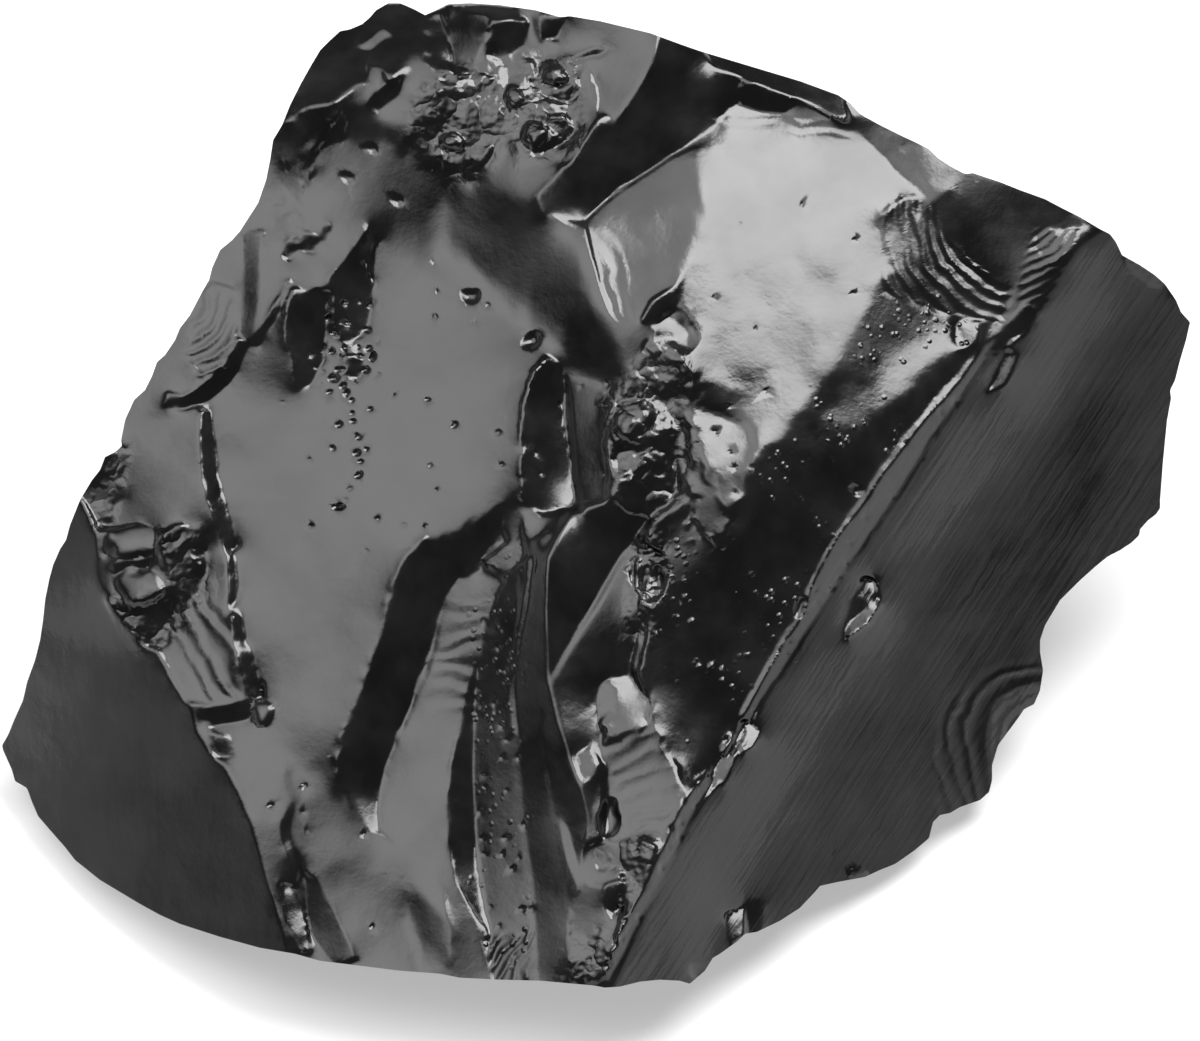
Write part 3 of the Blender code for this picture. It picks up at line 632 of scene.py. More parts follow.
@dataclass(frozen=True)
class Relief:
    """Height of the front over the drawing, kept on a square grid and read between its points."""

    height: Array
    left: float
    top: float
    step: float
    last: ClassVar[float] = 2.001  # keeps the two grid points after a place inside the grid

    def read(self, x: Array, y: Array) -> Array:
        """Cubic reading (Catmull-Rom weights on the four rows and columns round each point)."""
        rows, columns = self.height.shape
        u = np.clip((x - self.left) / self.step, 1.0, columns - self.last)
        v = np.clip((y - self.top) / self.step, 1.0, rows - self.last)
        i, j = u.astype(int), v.astype(int)
        across, down = self._weights(u - i), self._weights(v - j)
        total = np.zeros(x.shape)
        for dj, wy in enumerate(down):
            for di, wx in enumerate(across):
                total += wx * wy * self.height[j + dj - 1, i + di - 1]
        return total

    @staticmethod
    def _weights(t: Array) -> list[Array]:
        """The four Catmull-Rom weights at a share t between the two middle points."""
        return [0.5 * (-t + 2.0 * t ** 2 - t ** 3), 0.5 * (2.0 - 5.0 * t ** 2 + 3.0 * t ** 3),
                0.5 * (t + 4.0 * t ** 2 - 3.0 * t ** 3), 0.5 * (t ** 3 - t ** 2)]


@dataclass
class FrontSurface:
    """Joins the tilts of the fracture faces into one relief.

    The body's own tilt, in degrees, shows wherever no face lies, and turns from side to side.
    `border` is left, right, top and bottom of the grid. `pull` holds the result weakly to a
    general `lean`, and `tolerance` says when the heights are settled.
    """

    faces: list[Face]
    body_tilt: Point = (-9.0, 14.0)
    body_turn: float = 6.0
    step: float = 2.0
    border: tuple[float, float, float, float] = (-30.0, 1230.0, -30.0, 1040.0)
    waver_size: float = 55.0
    fray_size: float = 15.0
    ledge_width: float = 0.8
    least_ledge: float = 1.1
    pull: float = 2.0e-6
    lean: float = 0.30
    tolerance: float = 1.0e-4

    def relief(self) -> Relief:
        """Paint each face's tilt over the body's, then solve for the heights.

        Returns:
            The relief whose steps come nearest to the wanted slopes, minus tan(tilt), where a
            ledge border counts for little and a weak pull keeps the general lean.
        """
        left, right, top, bottom = self.border
        x, y = np.meshgrid(np.arange(left, right, self.step), np.arange(top, bottom, self.step))
        tilt_x = self.body_tilt[0] + self.body_turn * (x - DRAWING.middle[0]) / (0.5 * DRAWING.width)
        tilt_y = np.full(x.shape, self.body_tilt[1])
        hold = np.ones(x.shape)
        waver = rough_noise(x, y, self.waver_size, Seed.FACE_WAVER)
        fray = rough_noise(x, y, self.fray_size, Seed.FACE_FRAY, layers=3, fade=0.7)
        for face in self.faces:
            near = near_box(x, y, face.outline, face.margin)
            px, py = x[near], y[near]
            corners = np.array(face.outline)
            centre = corners.mean(axis=0)
            half = 0.5 * np.ptp(corners, axis=0)
            depth = inside_distance(px, py, face.outline) + face.waver * waver[near] + face.fray * fray[near]
            cover = ease(0.5 + 0.5 * depth / face.soft)
            face_x = face.tilt[0] + face.turn[0] * np.clip((px - centre[0]) / half[0], -1.0, 1.0)
            face_y = face.tilt[1] - face.turn[1] * np.clip((py - centre[1]) / half[1], -1.0, 1.0)
            tilt_x[near] += cover * (face_x - tilt_x[near])
            tilt_y[near] += cover * (face_y - tilt_y[near])
            hold[near] += cover * (1.0 - hold[near])
            ledge_width = max(self.ledge_width * face.soft, self.least_ledge * self.step)
            hold[near] *= 1.0 - face.ledge * np.exp(-((depth / ledge_width) ** 2))
        slope_x = -np.tan(np.radians(tilt_x)) * self.step
        slope_y = np.tan(np.radians(tilt_y)) * self.step
        height = self._solve(
            0.5 * (slope_x[:, 1:] + slope_x[:, :-1]), 0.5 * (slope_y[1:] + slope_y[:-1]),
            0.5 * (hold[:, 1:] + hold[:, :-1]), 0.5 * (hold[1:] + hold[:-1]),
            self.lean * (y - DRAWING.middle[1]))
        return Relief(height, left, top, self.step)

    def _solve(self, slope_x: Array, slope_y: Array, hold_x: Array, hold_y: Array, start: Array) -> Array:
        """Weighted least squares by conjugate gradients, with a cosine transform as the guess.

        Args:
            slope_x: wanted rise from each grid point to the next across.
            slope_y: wanted rise from each grid point to the next down.
            hold_x: how firmly each step across is held.
            hold_y: how firmly each step down is held.
            start: the general shape that the result is weakly pulled to.

        Returns:
            The heights on the grid.
        """
        rows, columns = start.shape
        pull = self.pull * self.step ** 2
        stiff = 0.5 * (hold_x.mean() + hold_y.mean())
        wave_y = 2.0 - 2.0 * np.cos(np.pi * np.arange(2 * rows) / rows)
        wave_x = 2.0 - 2.0 * np.cos(np.pi * np.arange(columns + 1) / columns)
        divisor = stiff * (wave_y[:, None] + wave_x[None, :]) + pull

        def guess(rest: Array) -> Array:
            """Solve with even firmness: mirror the field, divide its waves, and cut it back."""
            doubled = np.concatenate([rest, rest[::-1]], axis=0)
            doubled = np.concatenate([doubled, doubled[:, ::-1]], axis=1)
            return np.fft.irfft2(np.fft.rfft2(doubled) / divisor, s=doubled.shape)[:rows, :columns]

        def gather(step_x: Array, step_y: Array) -> Array:
            """Add each step to the point it leads to and take it from the one it leaves."""
            out = np.zeros((rows, columns))
            out[:, 1:] += step_x
            out[:, :-1] -= step_x
            out[1:] += step_y
            out[:-1] -= step_y
            return out

        def held(heights: Array) -> Array:
            """Steps of some heights, weighed by how firmly each is held, and gathered."""
            return gather(hold_x * np.diff(heights, axis=1), hold_y * np.diff(heights, axis=0))

        wanted = pull * start + gather(hold_x * slope_x, hold_y * slope_y)
        limit = self.tolerance * math.sqrt(float((wanted * wanted).sum()))
        height = start.copy()
        rest = wanted - pull * height - held(height)
        better = guess(rest)
        heading = better.copy()
        power = float((rest * better).sum())
        while math.sqrt(float((rest * rest).sum())) > limit:
            pushed = pull * heading + held(heading)
            stride = power / float((heading * pushed).sum())
            height += stride * heading
            rest -= stride * pushed
            better = guess(rest)
            last, power = power, float((rest * better).sum())
            heading = better + power / last * heading
        return height


# ---------------------------------------------------------------- marks laid over the relief

class Mark(Protocol):
    """Anything that raises or lowers the relief, within a margin of some drawing points."""

    def around(self) -> tuple[Outline, float]:
        """Points that bound the mark, and the margin round them."""

    def lay(self, x: Array, y: Array) -> Array:
        """Height to add at each drawing point."""


def lay_marks(marks: list[Mark], x: Array, y: Array, height: Array) -> Array:
    """Add every mark to the heights, each only where it reaches.

    The drawing points waver by a few units of noise first, so that no border is a clean curve.

    Args:
        marks: the marks, in any order.
        x: drawing units right.
        y: drawing units down.
        height: height of the relief at each point, in drawing units.

    Returns:
        The heights with the marks laid on.
    """
    height = height.copy()
    x, y = x + mark_waver(x, y, Seed.MARK_ACROSS), y + mark_waver(x, y, Seed.MARK_DOWN)
    for mark in marks:
        near = near_box(x, y, *mark.around())
        height[near] += mark.lay(x[near], y[near])
    return height


def mark_waver(x: Array, y: Array, seed: int) -> Array:
    """How far the marks' borders are pushed at each point: a broad noise and a fine one."""
    return sum(push * noise(x, y, size, seed + layer) for layer, (size, push) in enumerate(MARK_WAVER))


@dataclass(frozen=True)
class Oval:
    """An ellipse on the drawing, as its middle and its two radii: the ground of a mark."""

    middle: Point
    radii: Point

    def around(self) -> tuple[Outline, float]:
        """Points that bound the mark, and the margin round them."""
        return [self.middle], max(self.radii)

    def measure(self, x: Array, y: Array, turn: float) -> tuple[Array, Array]:
        """Points measured along the axes, turned by some degrees, in radii: its border is at 1."""
        angle = math.radians(turn)
        dx, dy = x - self.middle[0], y - self.middle[1]
        return ((dx * math.cos(angle) + dy * math.sin(angle)) / self.radii[0],
                (dy * math.cos(angle) - dx * math.sin(angle)) / self.radii[1])


@dataclass(frozen=True)
class Lump(Oval):
    """A rounded knob: height times (1 - r^2) to the power 0.7 inside an ellipse."""

    height: float
    turn: float = 0.0
    fullness: ClassVar[float] = 0.7

    def lay(self, x: Array, y: Array) -> Array:
        """Height to add at each drawing point."""
        u, v = self.measure(x, y, self.turn)
        return self.height * np.clip(1.0 - u * u - v * v, 0.0, 1.0) ** self.fullness


@dataclass(frozen=True)
class Scar(Oval):
    """A shell-shaped bite: depth times (1 - r^2) in an ellipse, ringed by fine waves that fade.

    `lean` makes the floor of the bite dip to one side, along the ellipse's first axis.
    """

    depth: float
    turn: float = 0.0
    lean: float = 0.0
    rings: float = 0.0
    ring_height: float = 0.0

    def lay(self, x: Array, y: Array) -> Array:
        """Height to add at each drawing point."""
        u, v = self.measure(x, y, self.turn)
        r2 = u * u + v * v
        inside = np.clip(1.0 - r2, 0.0, 1.0)
        bite = -self.depth * inside * (1.0 + self.lean * u)
        wave = self.ring_height * np.sin(2.0 * math.pi * self.rings * np.sqrt(r2)) * ease(4.0 * inside)
        return bite + wave


@dataclass(frozen=True)
class Ripples:
    """Waves that spread from the point where a face was struck, inside an outline.

    Height is a wave of the distance from the centre, from round (0) to sharp-crested (1). Each
    noise has its share, of the period or of the height, and its size in drawing units: one
    makes the waves wander, the other makes them wax and wane.
    """

    outline: Outline
    centre: Point
    period: float
    height: float
    soft: float = 12.0
    stretch: float = 1.0
    sharp: float = 1.0
    wander: ClassVar[Point] = (0.35, 40.0)
    wane: ClassVar[Point] = (0.4, 60.0)

    def around(self) -> tuple[Outline, float]:
        """Points that bound the mark, and the margin round them."""
        return self.outline, self.soft

    def lay(self, x: Array, y: Array) -> Array:
        """Height to add at each drawing point."""
        cover = ease(0.5 + inside_distance(x, y, self.outline) / self.soft)
        reach = np.hypot(x - self.centre[0], (y - self.centre[1]) * self.stretch)
        reach = reach + self.wander[0] * self.period * noise(x, y, self.wander[1], Seed.RIPPLE_WANDER)
        turn = math.pi * reach / self.period
        wave = self.sharp * (1.0 - 2.0 * np.abs(np.sin(turn))) + (1.0 - self.sharp) * np.cos(2.0 * turn)
        strength = 1.0 - self.wane[0] + self.wane[0] * noise(x, y, self.wane[1], Seed.RIPPLE_WANE)
        return self.height * cover * wave * strength


@dataclass(frozen=True)
class Bubbles:
    """Small round pits scattered one to a cell on a jittered grid, inside an outline.

    `spot` and `size` give the least value and the spread of a pit's place in its cell and of
    its radius, and `share` is how many of the cells have a pit.
    """

    outline: Outline
    cell: float
    radius: float
    depth: float
    seed: int
    share: float = 0.6
    soft: ClassVar[float] = 10.0
    spot: ClassVar[Point] = (0.15, 0.7)
    size: ClassVar[Point] = (0.45, 0.55)

    def around(self) -> tuple[Outline, float]:
        """Points that bound the mark, and the margin round them."""
        return self.outline, self.soft

    def lay(self, x: Array, y: Array) -> Array:
        """Height to add: the deepest of the pits of the nine cells round each point."""
        cover = ease(0.5 + inside_distance(x, y, self.outline) / self.soft)
        draw = np.random.default_rng(self.seed).uniform(0.0, 1.0, (4, LATTICE, LATTICE))
        i, j = np.floor(x / self.cell).astype(int), np.floor(y / self.cell).astype(int)
        deepest = np.zeros(x.shape)
        for di in (-1, 0, 1):
            for dj in (-1, 0, 1):
                ci, cj = (i + di) % LATTICE, (j + dj) % LATTICE
                px = (i + di + self.spot[0] + self.spot[1] * draw[0, ci, cj]) * self.cell
                py = (j + dj + self.spot[0] + self.spot[1] * draw[1, ci, cj]) * self.cell
                size = self.radius * (self.size[0] + self.size[1] * draw[2, ci, cj])
                there = draw[3, ci, cj] < self.share
                pit = np.clip(1.0 - ((x - px) ** 2 + (y - py) ** 2) / size ** 2, 0.0, 1.0)
                deepest = np.maximum(deepest, there * pit * size / self.radius)
        return -self.depth * cover * deepest


@dataclass(frozen=True)
class Swell:
    """Soft unevenness over everything: layered noise."""

    size: float
    height: float
    seed: int
    layers: int = 2

    def around(self) -> tuple[Outline, float]:
        """Points that bound the mark, and the margin round them."""
        return [DRAWING.middle], DRAWING.width

    def lay(self, x: Array, y: Array) -> Array:
        """Height to add at each drawing point."""
        return self.height * rough_noise(x, y, self.size, self.seed, self.layers)


# Marks, from the broad unevenness down to the pits, in drawing units and degrees.
MARKS: list[Mark] = [
    # general unevenness of the broken glass
    Swell(210.0, 5.0, 11),
    Swell(70.0, 1.8, 21),
    Swell(18.0, 0.14, 31),
    # knobs of the top, round black-rimmed hollows
    Lump((552, 73), (14.0, 12.0), 8.0, 20.0),
    Lump((536, 135), (14.0, 13.0), 9.0, 0.0),
    Lump((452, 141), (14.0, 12.0), 8.0, 10.0),
    Lump((514, 96), (10.0, 13.0), 5.0, 20.0),
    # hollows and small shell marks of the shoulder
    Scar((370, 150), (11.0, 6.0), 2.4, 20.0, 0.6),
    Scar((345, 175), (9.0, 6.0), 2.0, 10.0, 0.6),
    Scar((395, 197), (10.0, 6.0), 2.4, 30.0, 0.6),
    Scar((470, 295), (11.0, 9.0), 5.0, 20.0, 0.4),
    Scar((532, 341), (13.0, 10.0), 6.0, 0.0, 0.4),
    Scar((338, 508), (7.0, 6.0), 4.0),
    Bubbles([(326, 300), (380, 300), (372, 480), (340, 490), (322, 400)], 13.0, 5.0, 4.0, 53, 0.55),
    Bubbles([(300, 300), (400, 240), (500, 300), (500, 480), (420, 560), (300, 560), (280, 430)],
            30.0, 3.6, 2.6, 54, 0.30),
    # left edge: the shell chip, the barrel, the claw and the fingers
    Ripples([(200, 296), (230, 288), (238, 330), (226, 372), (200, 384), (186, 350)],
            (180, 300), 13.0, 1.0, 8.0),
    Lump((131, 542), (30.0, 18.0), 6.0, -6.0),
    Lump((140, 588), (26.0, 17.0), 6.0, 20.0),
    Ripples([(165, 604), (206, 590), (236, 640), (240, 698), (205, 704), (182, 660)],
            (2000, -250), 17.0, 1.5, 10.0),
    Lump((263, 712), (11.0, 13.0), 6.0),
    Bubbles([(240, 740), (330, 740), (440, 960), (300, 900)], 24.0, 4.0, 2.6, 67, 0.35),
    # wrinkles of the leaf and grain of the strip beside it
    Ripples([(440, 602), (488, 596), (478, 712), (422, 716)], (500, 1900), 17.5, 0.7, 16.0, sharp=0.3),
    Bubbles([(484, 580), (518, 570), (520, 700), (536, 985), (490, 985), (476, 780)],
            17.0, 4.6, 1.8, 69, 0.45),
    Ripples([(486, 936), (534, 932), (538, 985), (492, 985)], (100, 700), 11.0, 1.6, 8.0),
    # eaten ground round the short wall, the column and the knobs of the middle
    Bubbles([(480, 300), (600, 300), (640, 400), (600, 500), (500, 500)], 22.0, 4.2, 2.2, 74, 0.2),
    Lump((633, 417), (21.0, 20.0), 6.0),
    Scar((676, 334), (22.0, 24.0), 6.0, 20.0, 0.4),
    Bubbles([(684, 376), (770, 385), (775, 470), (700, 524), (684, 466)], 22.0, 3.6, 2.2, 76, 0.4),
    Bubbles([(740, 120), (880, 170), (860, 300), (720, 420), (700, 250)], 46.0, 3.2, 1.8, 82, 0.35),
    # small chips down the right centre
    Scar((650, 577), (20.0, 28.0), 6.0, 15.0, 0.35, 2.0, 0.6),
    Ripples([(600, 745), (640, 730), (652, 722), (688, 795), (652, 830), (635, 838)],
            (1120, 1900), 18.0, 0.5, 6.0),
    Scar((608, 818), (12.0, 21.0), 6.0, 10.0, 0.4),
    Bubbles([(640, 836), (668, 836), (606, 985), (572, 985), (610, 900)], 17.0, 5.5, 2.6, 78, 0.6),
    Bubbles([(640, 540), (720, 500), (760, 600), (740, 690), (650, 640)], 13.0, 3.6, -2.2, 79, 0.4),
    # shell breaks of the upper right corner
    Ripples([(900, 196), (930, 206), (944, 236), (1012, 290), (1000, 322), (930, 312), (884, 292),
             (880, 220)], (1018, 215), 13.0, 1.5, 8.0),
    Ripples([(1034, 226), (1078, 230), (1050, 302), (1020, 300)], (1000, 190), 9.0, 1.2, 8.0),
    Ripples([(590, 225), (604, 208), (622, 240), (634, 300), (636, 318), (612, 312), (602, 285)],
            (470, 330), 15.0, 0.5, 5.0),
    Ripples([(706, 110), (860, 120), (850, 140), (720, 126)], (780, 600), 12.0, 0.5, 8.0),
    # chips on the long ridge and marks on the right face
    Bubbles([(1040, 300), (1026, 330), (905, 480), (770, 690), (690, 822), (610, 980), (600, 970),
             (680, 810), (765, 675), (905, 445)], 15.0, 4.4, 2.6, 83, 0.6),
    Scar((858, 490), (8.0, 7.0), 4.0),
    Scar((800, 608), (7.0, 12.0), 4.0, 30.0),
    Ripples([(1046, 660), (1046, 740), (1000, 812), (936, 822), (932, 770), (950, 700), (990, 668)],
            (1040, 745), 15.0, 1.0, 16.0, 0.9),
    Scar((1036, 745), (48.0, 56.0), 10.0, 0.0, 0.3),
    Lump((858, 874), (12.0, 6.0), 3.0),
    Scar((700, 972), (12.0, 9.0), 5.0),
]


class Cover(Enum):
    """The finishes painted on the front, by the names of their attributes on the mesh."""

    RIPPLED = "rippled"
    STREAKED = "streaked"
    SPECKLED = "speckled"
    RUGGED = "rugged"


# Where each finish lies on the front.
FINISH_COVERS: dict[Cover, list[Outline]] = {
    Cover.RIPPLED: [
        [(60, 470), (85, 505), (100, 560), (105, 600), (135, 640), (175, 680), (215, 755), (240, 790),
         (265, 870), (290, 965), (200, 1020), (-40, 930), (-60, 600), (30, 480)],
    ],
    Cover.STREAKED: [
        [(1120, 225), (1080, 245), (1045, 300), (985, 350), (905, 450), (815, 580), (755, 690),
         (670, 845), (600, 985), (700, 1060), (1250, 1000), (1300, 150)],
    ],
    Cover.SPECKLED: [
        [(905, 280), (965, 318), (1010, 312), (960, 372), (885, 465), (815, 575), (748, 700),
         (690, 800), (640, 720), (630, 600), (650, 520), (700, 490), (740, 500), (790, 430), (865, 320)],
        [(470, 560), (520, 560), (530, 985), (480, 985)],
    ],
    Cover.RUGGED: [
        [(412, 88), (440, 70), (500, 62), (506, 130), (492, 164), (458, 178), (430, 160), (414, 132)],
        [(522, 56), (580, 60), (584, 110), (580, 150), (520, 158), (506, 120)],
        [(606, 396), (660, 340), (684, 352), (692, 470), (682, 505), (612, 500)],
        [(628, 530), (668, 530), (660, 640), (630, 640)],
        [(590, 842), (660, 838), (622, 940), (600, 985), (560, 985), (575, 940), (612, 930), (620, 880)],
        [(85, 450), (126, 446), (112, 520), (96, 524)],
        [(158, 530), (206, 530), (206, 590), (176, 640), (140, 652), (104, 600), (150, 600)],
    ],
}


# ---------------------------------------------------------------- the hidden side

@dataclass(frozen=True)
class BreakPlane:
    """A broad flat break of the hidden side: its outward direction and distance, in metres."""

    direction: Triple
    distance: float


@dataclass(frozen=True)
class Bite:
    """A shell-shaped bite in the hidden side: the middle and radius of its ball, in metres."""

    middle: Triple
    radius: float


BREAK_PLANES = [
    BreakPlane((0.29, 0.95, -0.14), 0.0268),
    BreakPlane((-0.82, 0.57, -0.12), 0.0305),
    BreakPlane((-0.20, 0.96, -0.34), 0.0262),
    BreakPlane((-0.80, 0.12, -0.58), 0.0330),
    BreakPlane((0.90, 0.30, -0.32), 0.0392),
    BreakPlane((0.62, 0.70, -0.40), 0.0330),
]
BITES = [
    Bite((-0.034, 0.046, 0.018), 0.0240),
    Bite((0.022, 0.052, 0.010), 0.0290),
    Bite((0.060, 0.022, 0.000), 0.0250),
    Bite((-0.064, 0.004, 0.002), 0.0250),
]


@dataclass
class HiddenSide:
    """The back and underside: flanks that leave the rim, broad break planes and bites.

    Slopes are metres of fall for each metre inwards from the rim, noise sizes are in drawing
    units, and everything else is in metres. Chips stand where their noise is over a level.
    """

    rim: "Rim"
    lift: float
    flank_slope: float = 3.2
    underside_slope: float = 0.60
    rim_edge: float = 0.0005
    thinnest: float = 0.0016
    softening: float = 0.009
    ring_size: float = 0.0042
    ring_height: float = 0.00022
    swell_size: float = 150.0
    swell_height: float = 0.0011
    chip_size: float = 75.0
    chip_height: float = 0.0007
    chip_level: float = 0.15
    chip_fade: float = 0.45
    smooth_edge: float = 0.003

    def height(self, x_draw: Array, y_draw: Array, share: Array, angle: Array, front: Array) -> Array:
        """Height of the hidden side at each drawing point.

        Args:
            x_draw: drawing units right.
            y_draw: drawing units down.
            share: how far each point lies from the middle (0) to the rim (1).
            angle: direction of each point from the middle.
            front: height of the front over each point, in metres.

        Returns:
            The nearest of the flank, planes and bites, roughened, kept behind the front (m).
        """
        unit = DRAWING.unit
        reach = self.rim.reach(angle)
        gap = (1.0 - share) * reach * unit
        soften = ease(gap / self.softening)
        soft_reach, soft_height = self.rim.soft(angle)
        start = self.rim.height(angle)
        start = (start + soften * (soft_height - start)) * unit - self.rim_edge
        gap = gap + soften * ((soft_reach - share * reach) * unit - gap)
        x = (x_draw - DRAWING.middle[0]) * unit
        y = (DRAWING.middle[1] - y_draw) * unit
        behind = self._planes(x, y, start - self.flank_slope * gap)
        behind = np.minimum(behind, start - self.underside_slope * gap)
        behind = behind + self._roughness(x_draw, y_draw) * ease(gap / self.smooth_edge)
        least = self.rim_edge + (self.thinnest - self.rim_edge) * ease(gap / (2.0 * self.thinnest))
        return np.minimum(behind, front - least)

    def _planes(self, x: Array, y: Array, height: Array) -> Array:
        """The highest of the flank, each break plane and the near side of each bite's ball.

        Args:
            x: metres right of the middle.
            y: metres up from the middle.
            height: height of the flank at each point (m).

        Returns:
            The height at each point (m).
        """
        sin_e, cos_e = DRAWING.axes
        for plane in BREAK_PLANES:
            nx, ny, nz = np.array(plane.direction) / np.linalg.norm(plane.direction)
            facing = ny * cos_e - nz * sin_e
            height = np.maximum(height, (nx * x + (ny * sin_e + nz * cos_e) * y - plane.distance) / facing)
        for bite in BITES:
            mx, my, mz = bite.middle
            up = my * sin_e + (mz - self.lift) * cos_e
            near = (mz - self.lift) * sin_e - my * cos_e
            away = np.hypot(x - mx, y - up)
            depth = np.sqrt(np.clip(bite.radius ** 2 - away ** 2, 0.0, None))
            wave = self.ring_height * np.sin(2.0 * math.pi * depth / self.ring_size)
            height = np.where(away < bite.radius, np.maximum(height, near + depth + wave), height)
        return height

    def _roughness(self, x_draw: Array, y_draw: Array) -> Array:
        """Unevenness of the hidden breaks: broad swells, and chips where the noise is high (m)."""
        swell = self.swell_height * rough_noise(x_draw, y_draw, self.swell_size, Seed.HIDDEN_SWELL, 3)
        chips = rough_noise(x_draw, y_draw, self.chip_size, Seed.HIDDEN_CHIPS, 2)
        return swell + self.chip_height * ease((chips - self.chip_level) / self.chip_fade)


@dataclass
class Rim:
    """The outline as a closed ring round the middle: how far it reaches, and how high it stands.

    The softened ring is sampled evenly all round, and keeps only its longest waves.
    """

    outline: Outline
    surface: Relief
    samples: int = 720
    waves: int = 9
    soft_reach: Array = field(init=False)
    soft_height: Array = field(init=False)

    def __post_init__(self) -> None:
        """Work out the softened rings."""
        angle = np.linspace(0.0, 2.0 * math.pi, self.samples, endpoint=False)
        turn = np.arctan2(np.sin(angle), np.cos(angle))
        self.soft_reach = self._soften(self.reach(turn))
        self.soft_height = self._soften(self.height(turn))

    def _soften(self, ring: Array) -> Array:
        """A ring with its short waves taken out."""
        waves = np.fft.rfft(ring)
        waves[self.waves:] = 0.0
        return np.fft.irfft(waves, n=len(ring))

    def reach(self, angle: Array) -> Array:
        """Distance from the middle to the outline: where each ray meets its segment."""
        corners = np.array(self.outline, dtype=float) - DRAWING.middle
        turn = np.arctan2(corners[:, 1], corners[:, 0])
        order = np.argsort(turn)
        corners, turn = corners[order], turn[order]
        after = np.searchsorted(turn, angle) % len(turn)
        a, b = corners[after - 1], corners[after]
        ex, ey = (b - a)[..., 0], (b - a)[..., 1]
        return (a[..., 0] * ey - a[..., 1] * ex) / (np.cos(angle) * ey - np.sin(angle) * ex)

    def height(self, angle: Array) -> Array:
        """Height of the front at the rim, in drawing units."""
        reach = self.reach(angle)
        return self.surface.read(DRAWING.middle[0] + reach * np.cos(angle),
                                 DRAWING.middle[1] + reach * np.sin(angle))

    def soft(self, angle: Array) -> tuple[Array, Array]:
        """Softened reach and height in any direction, in drawing units."""
        place = (angle / (2.0 * math.pi)) % 1.0 * self.samples
        i = place.astype(int) % self.samples
        share = place - np.floor(place)
        after = (i + 1) % self.samples
        return (self.soft_reach[i] * (1.0 - share) + self.soft_reach[after] * share,
                self.soft_height[i] * (1.0 - share) + self.soft_height[after] * share)


# ---------------------------------------------------------------- the stone

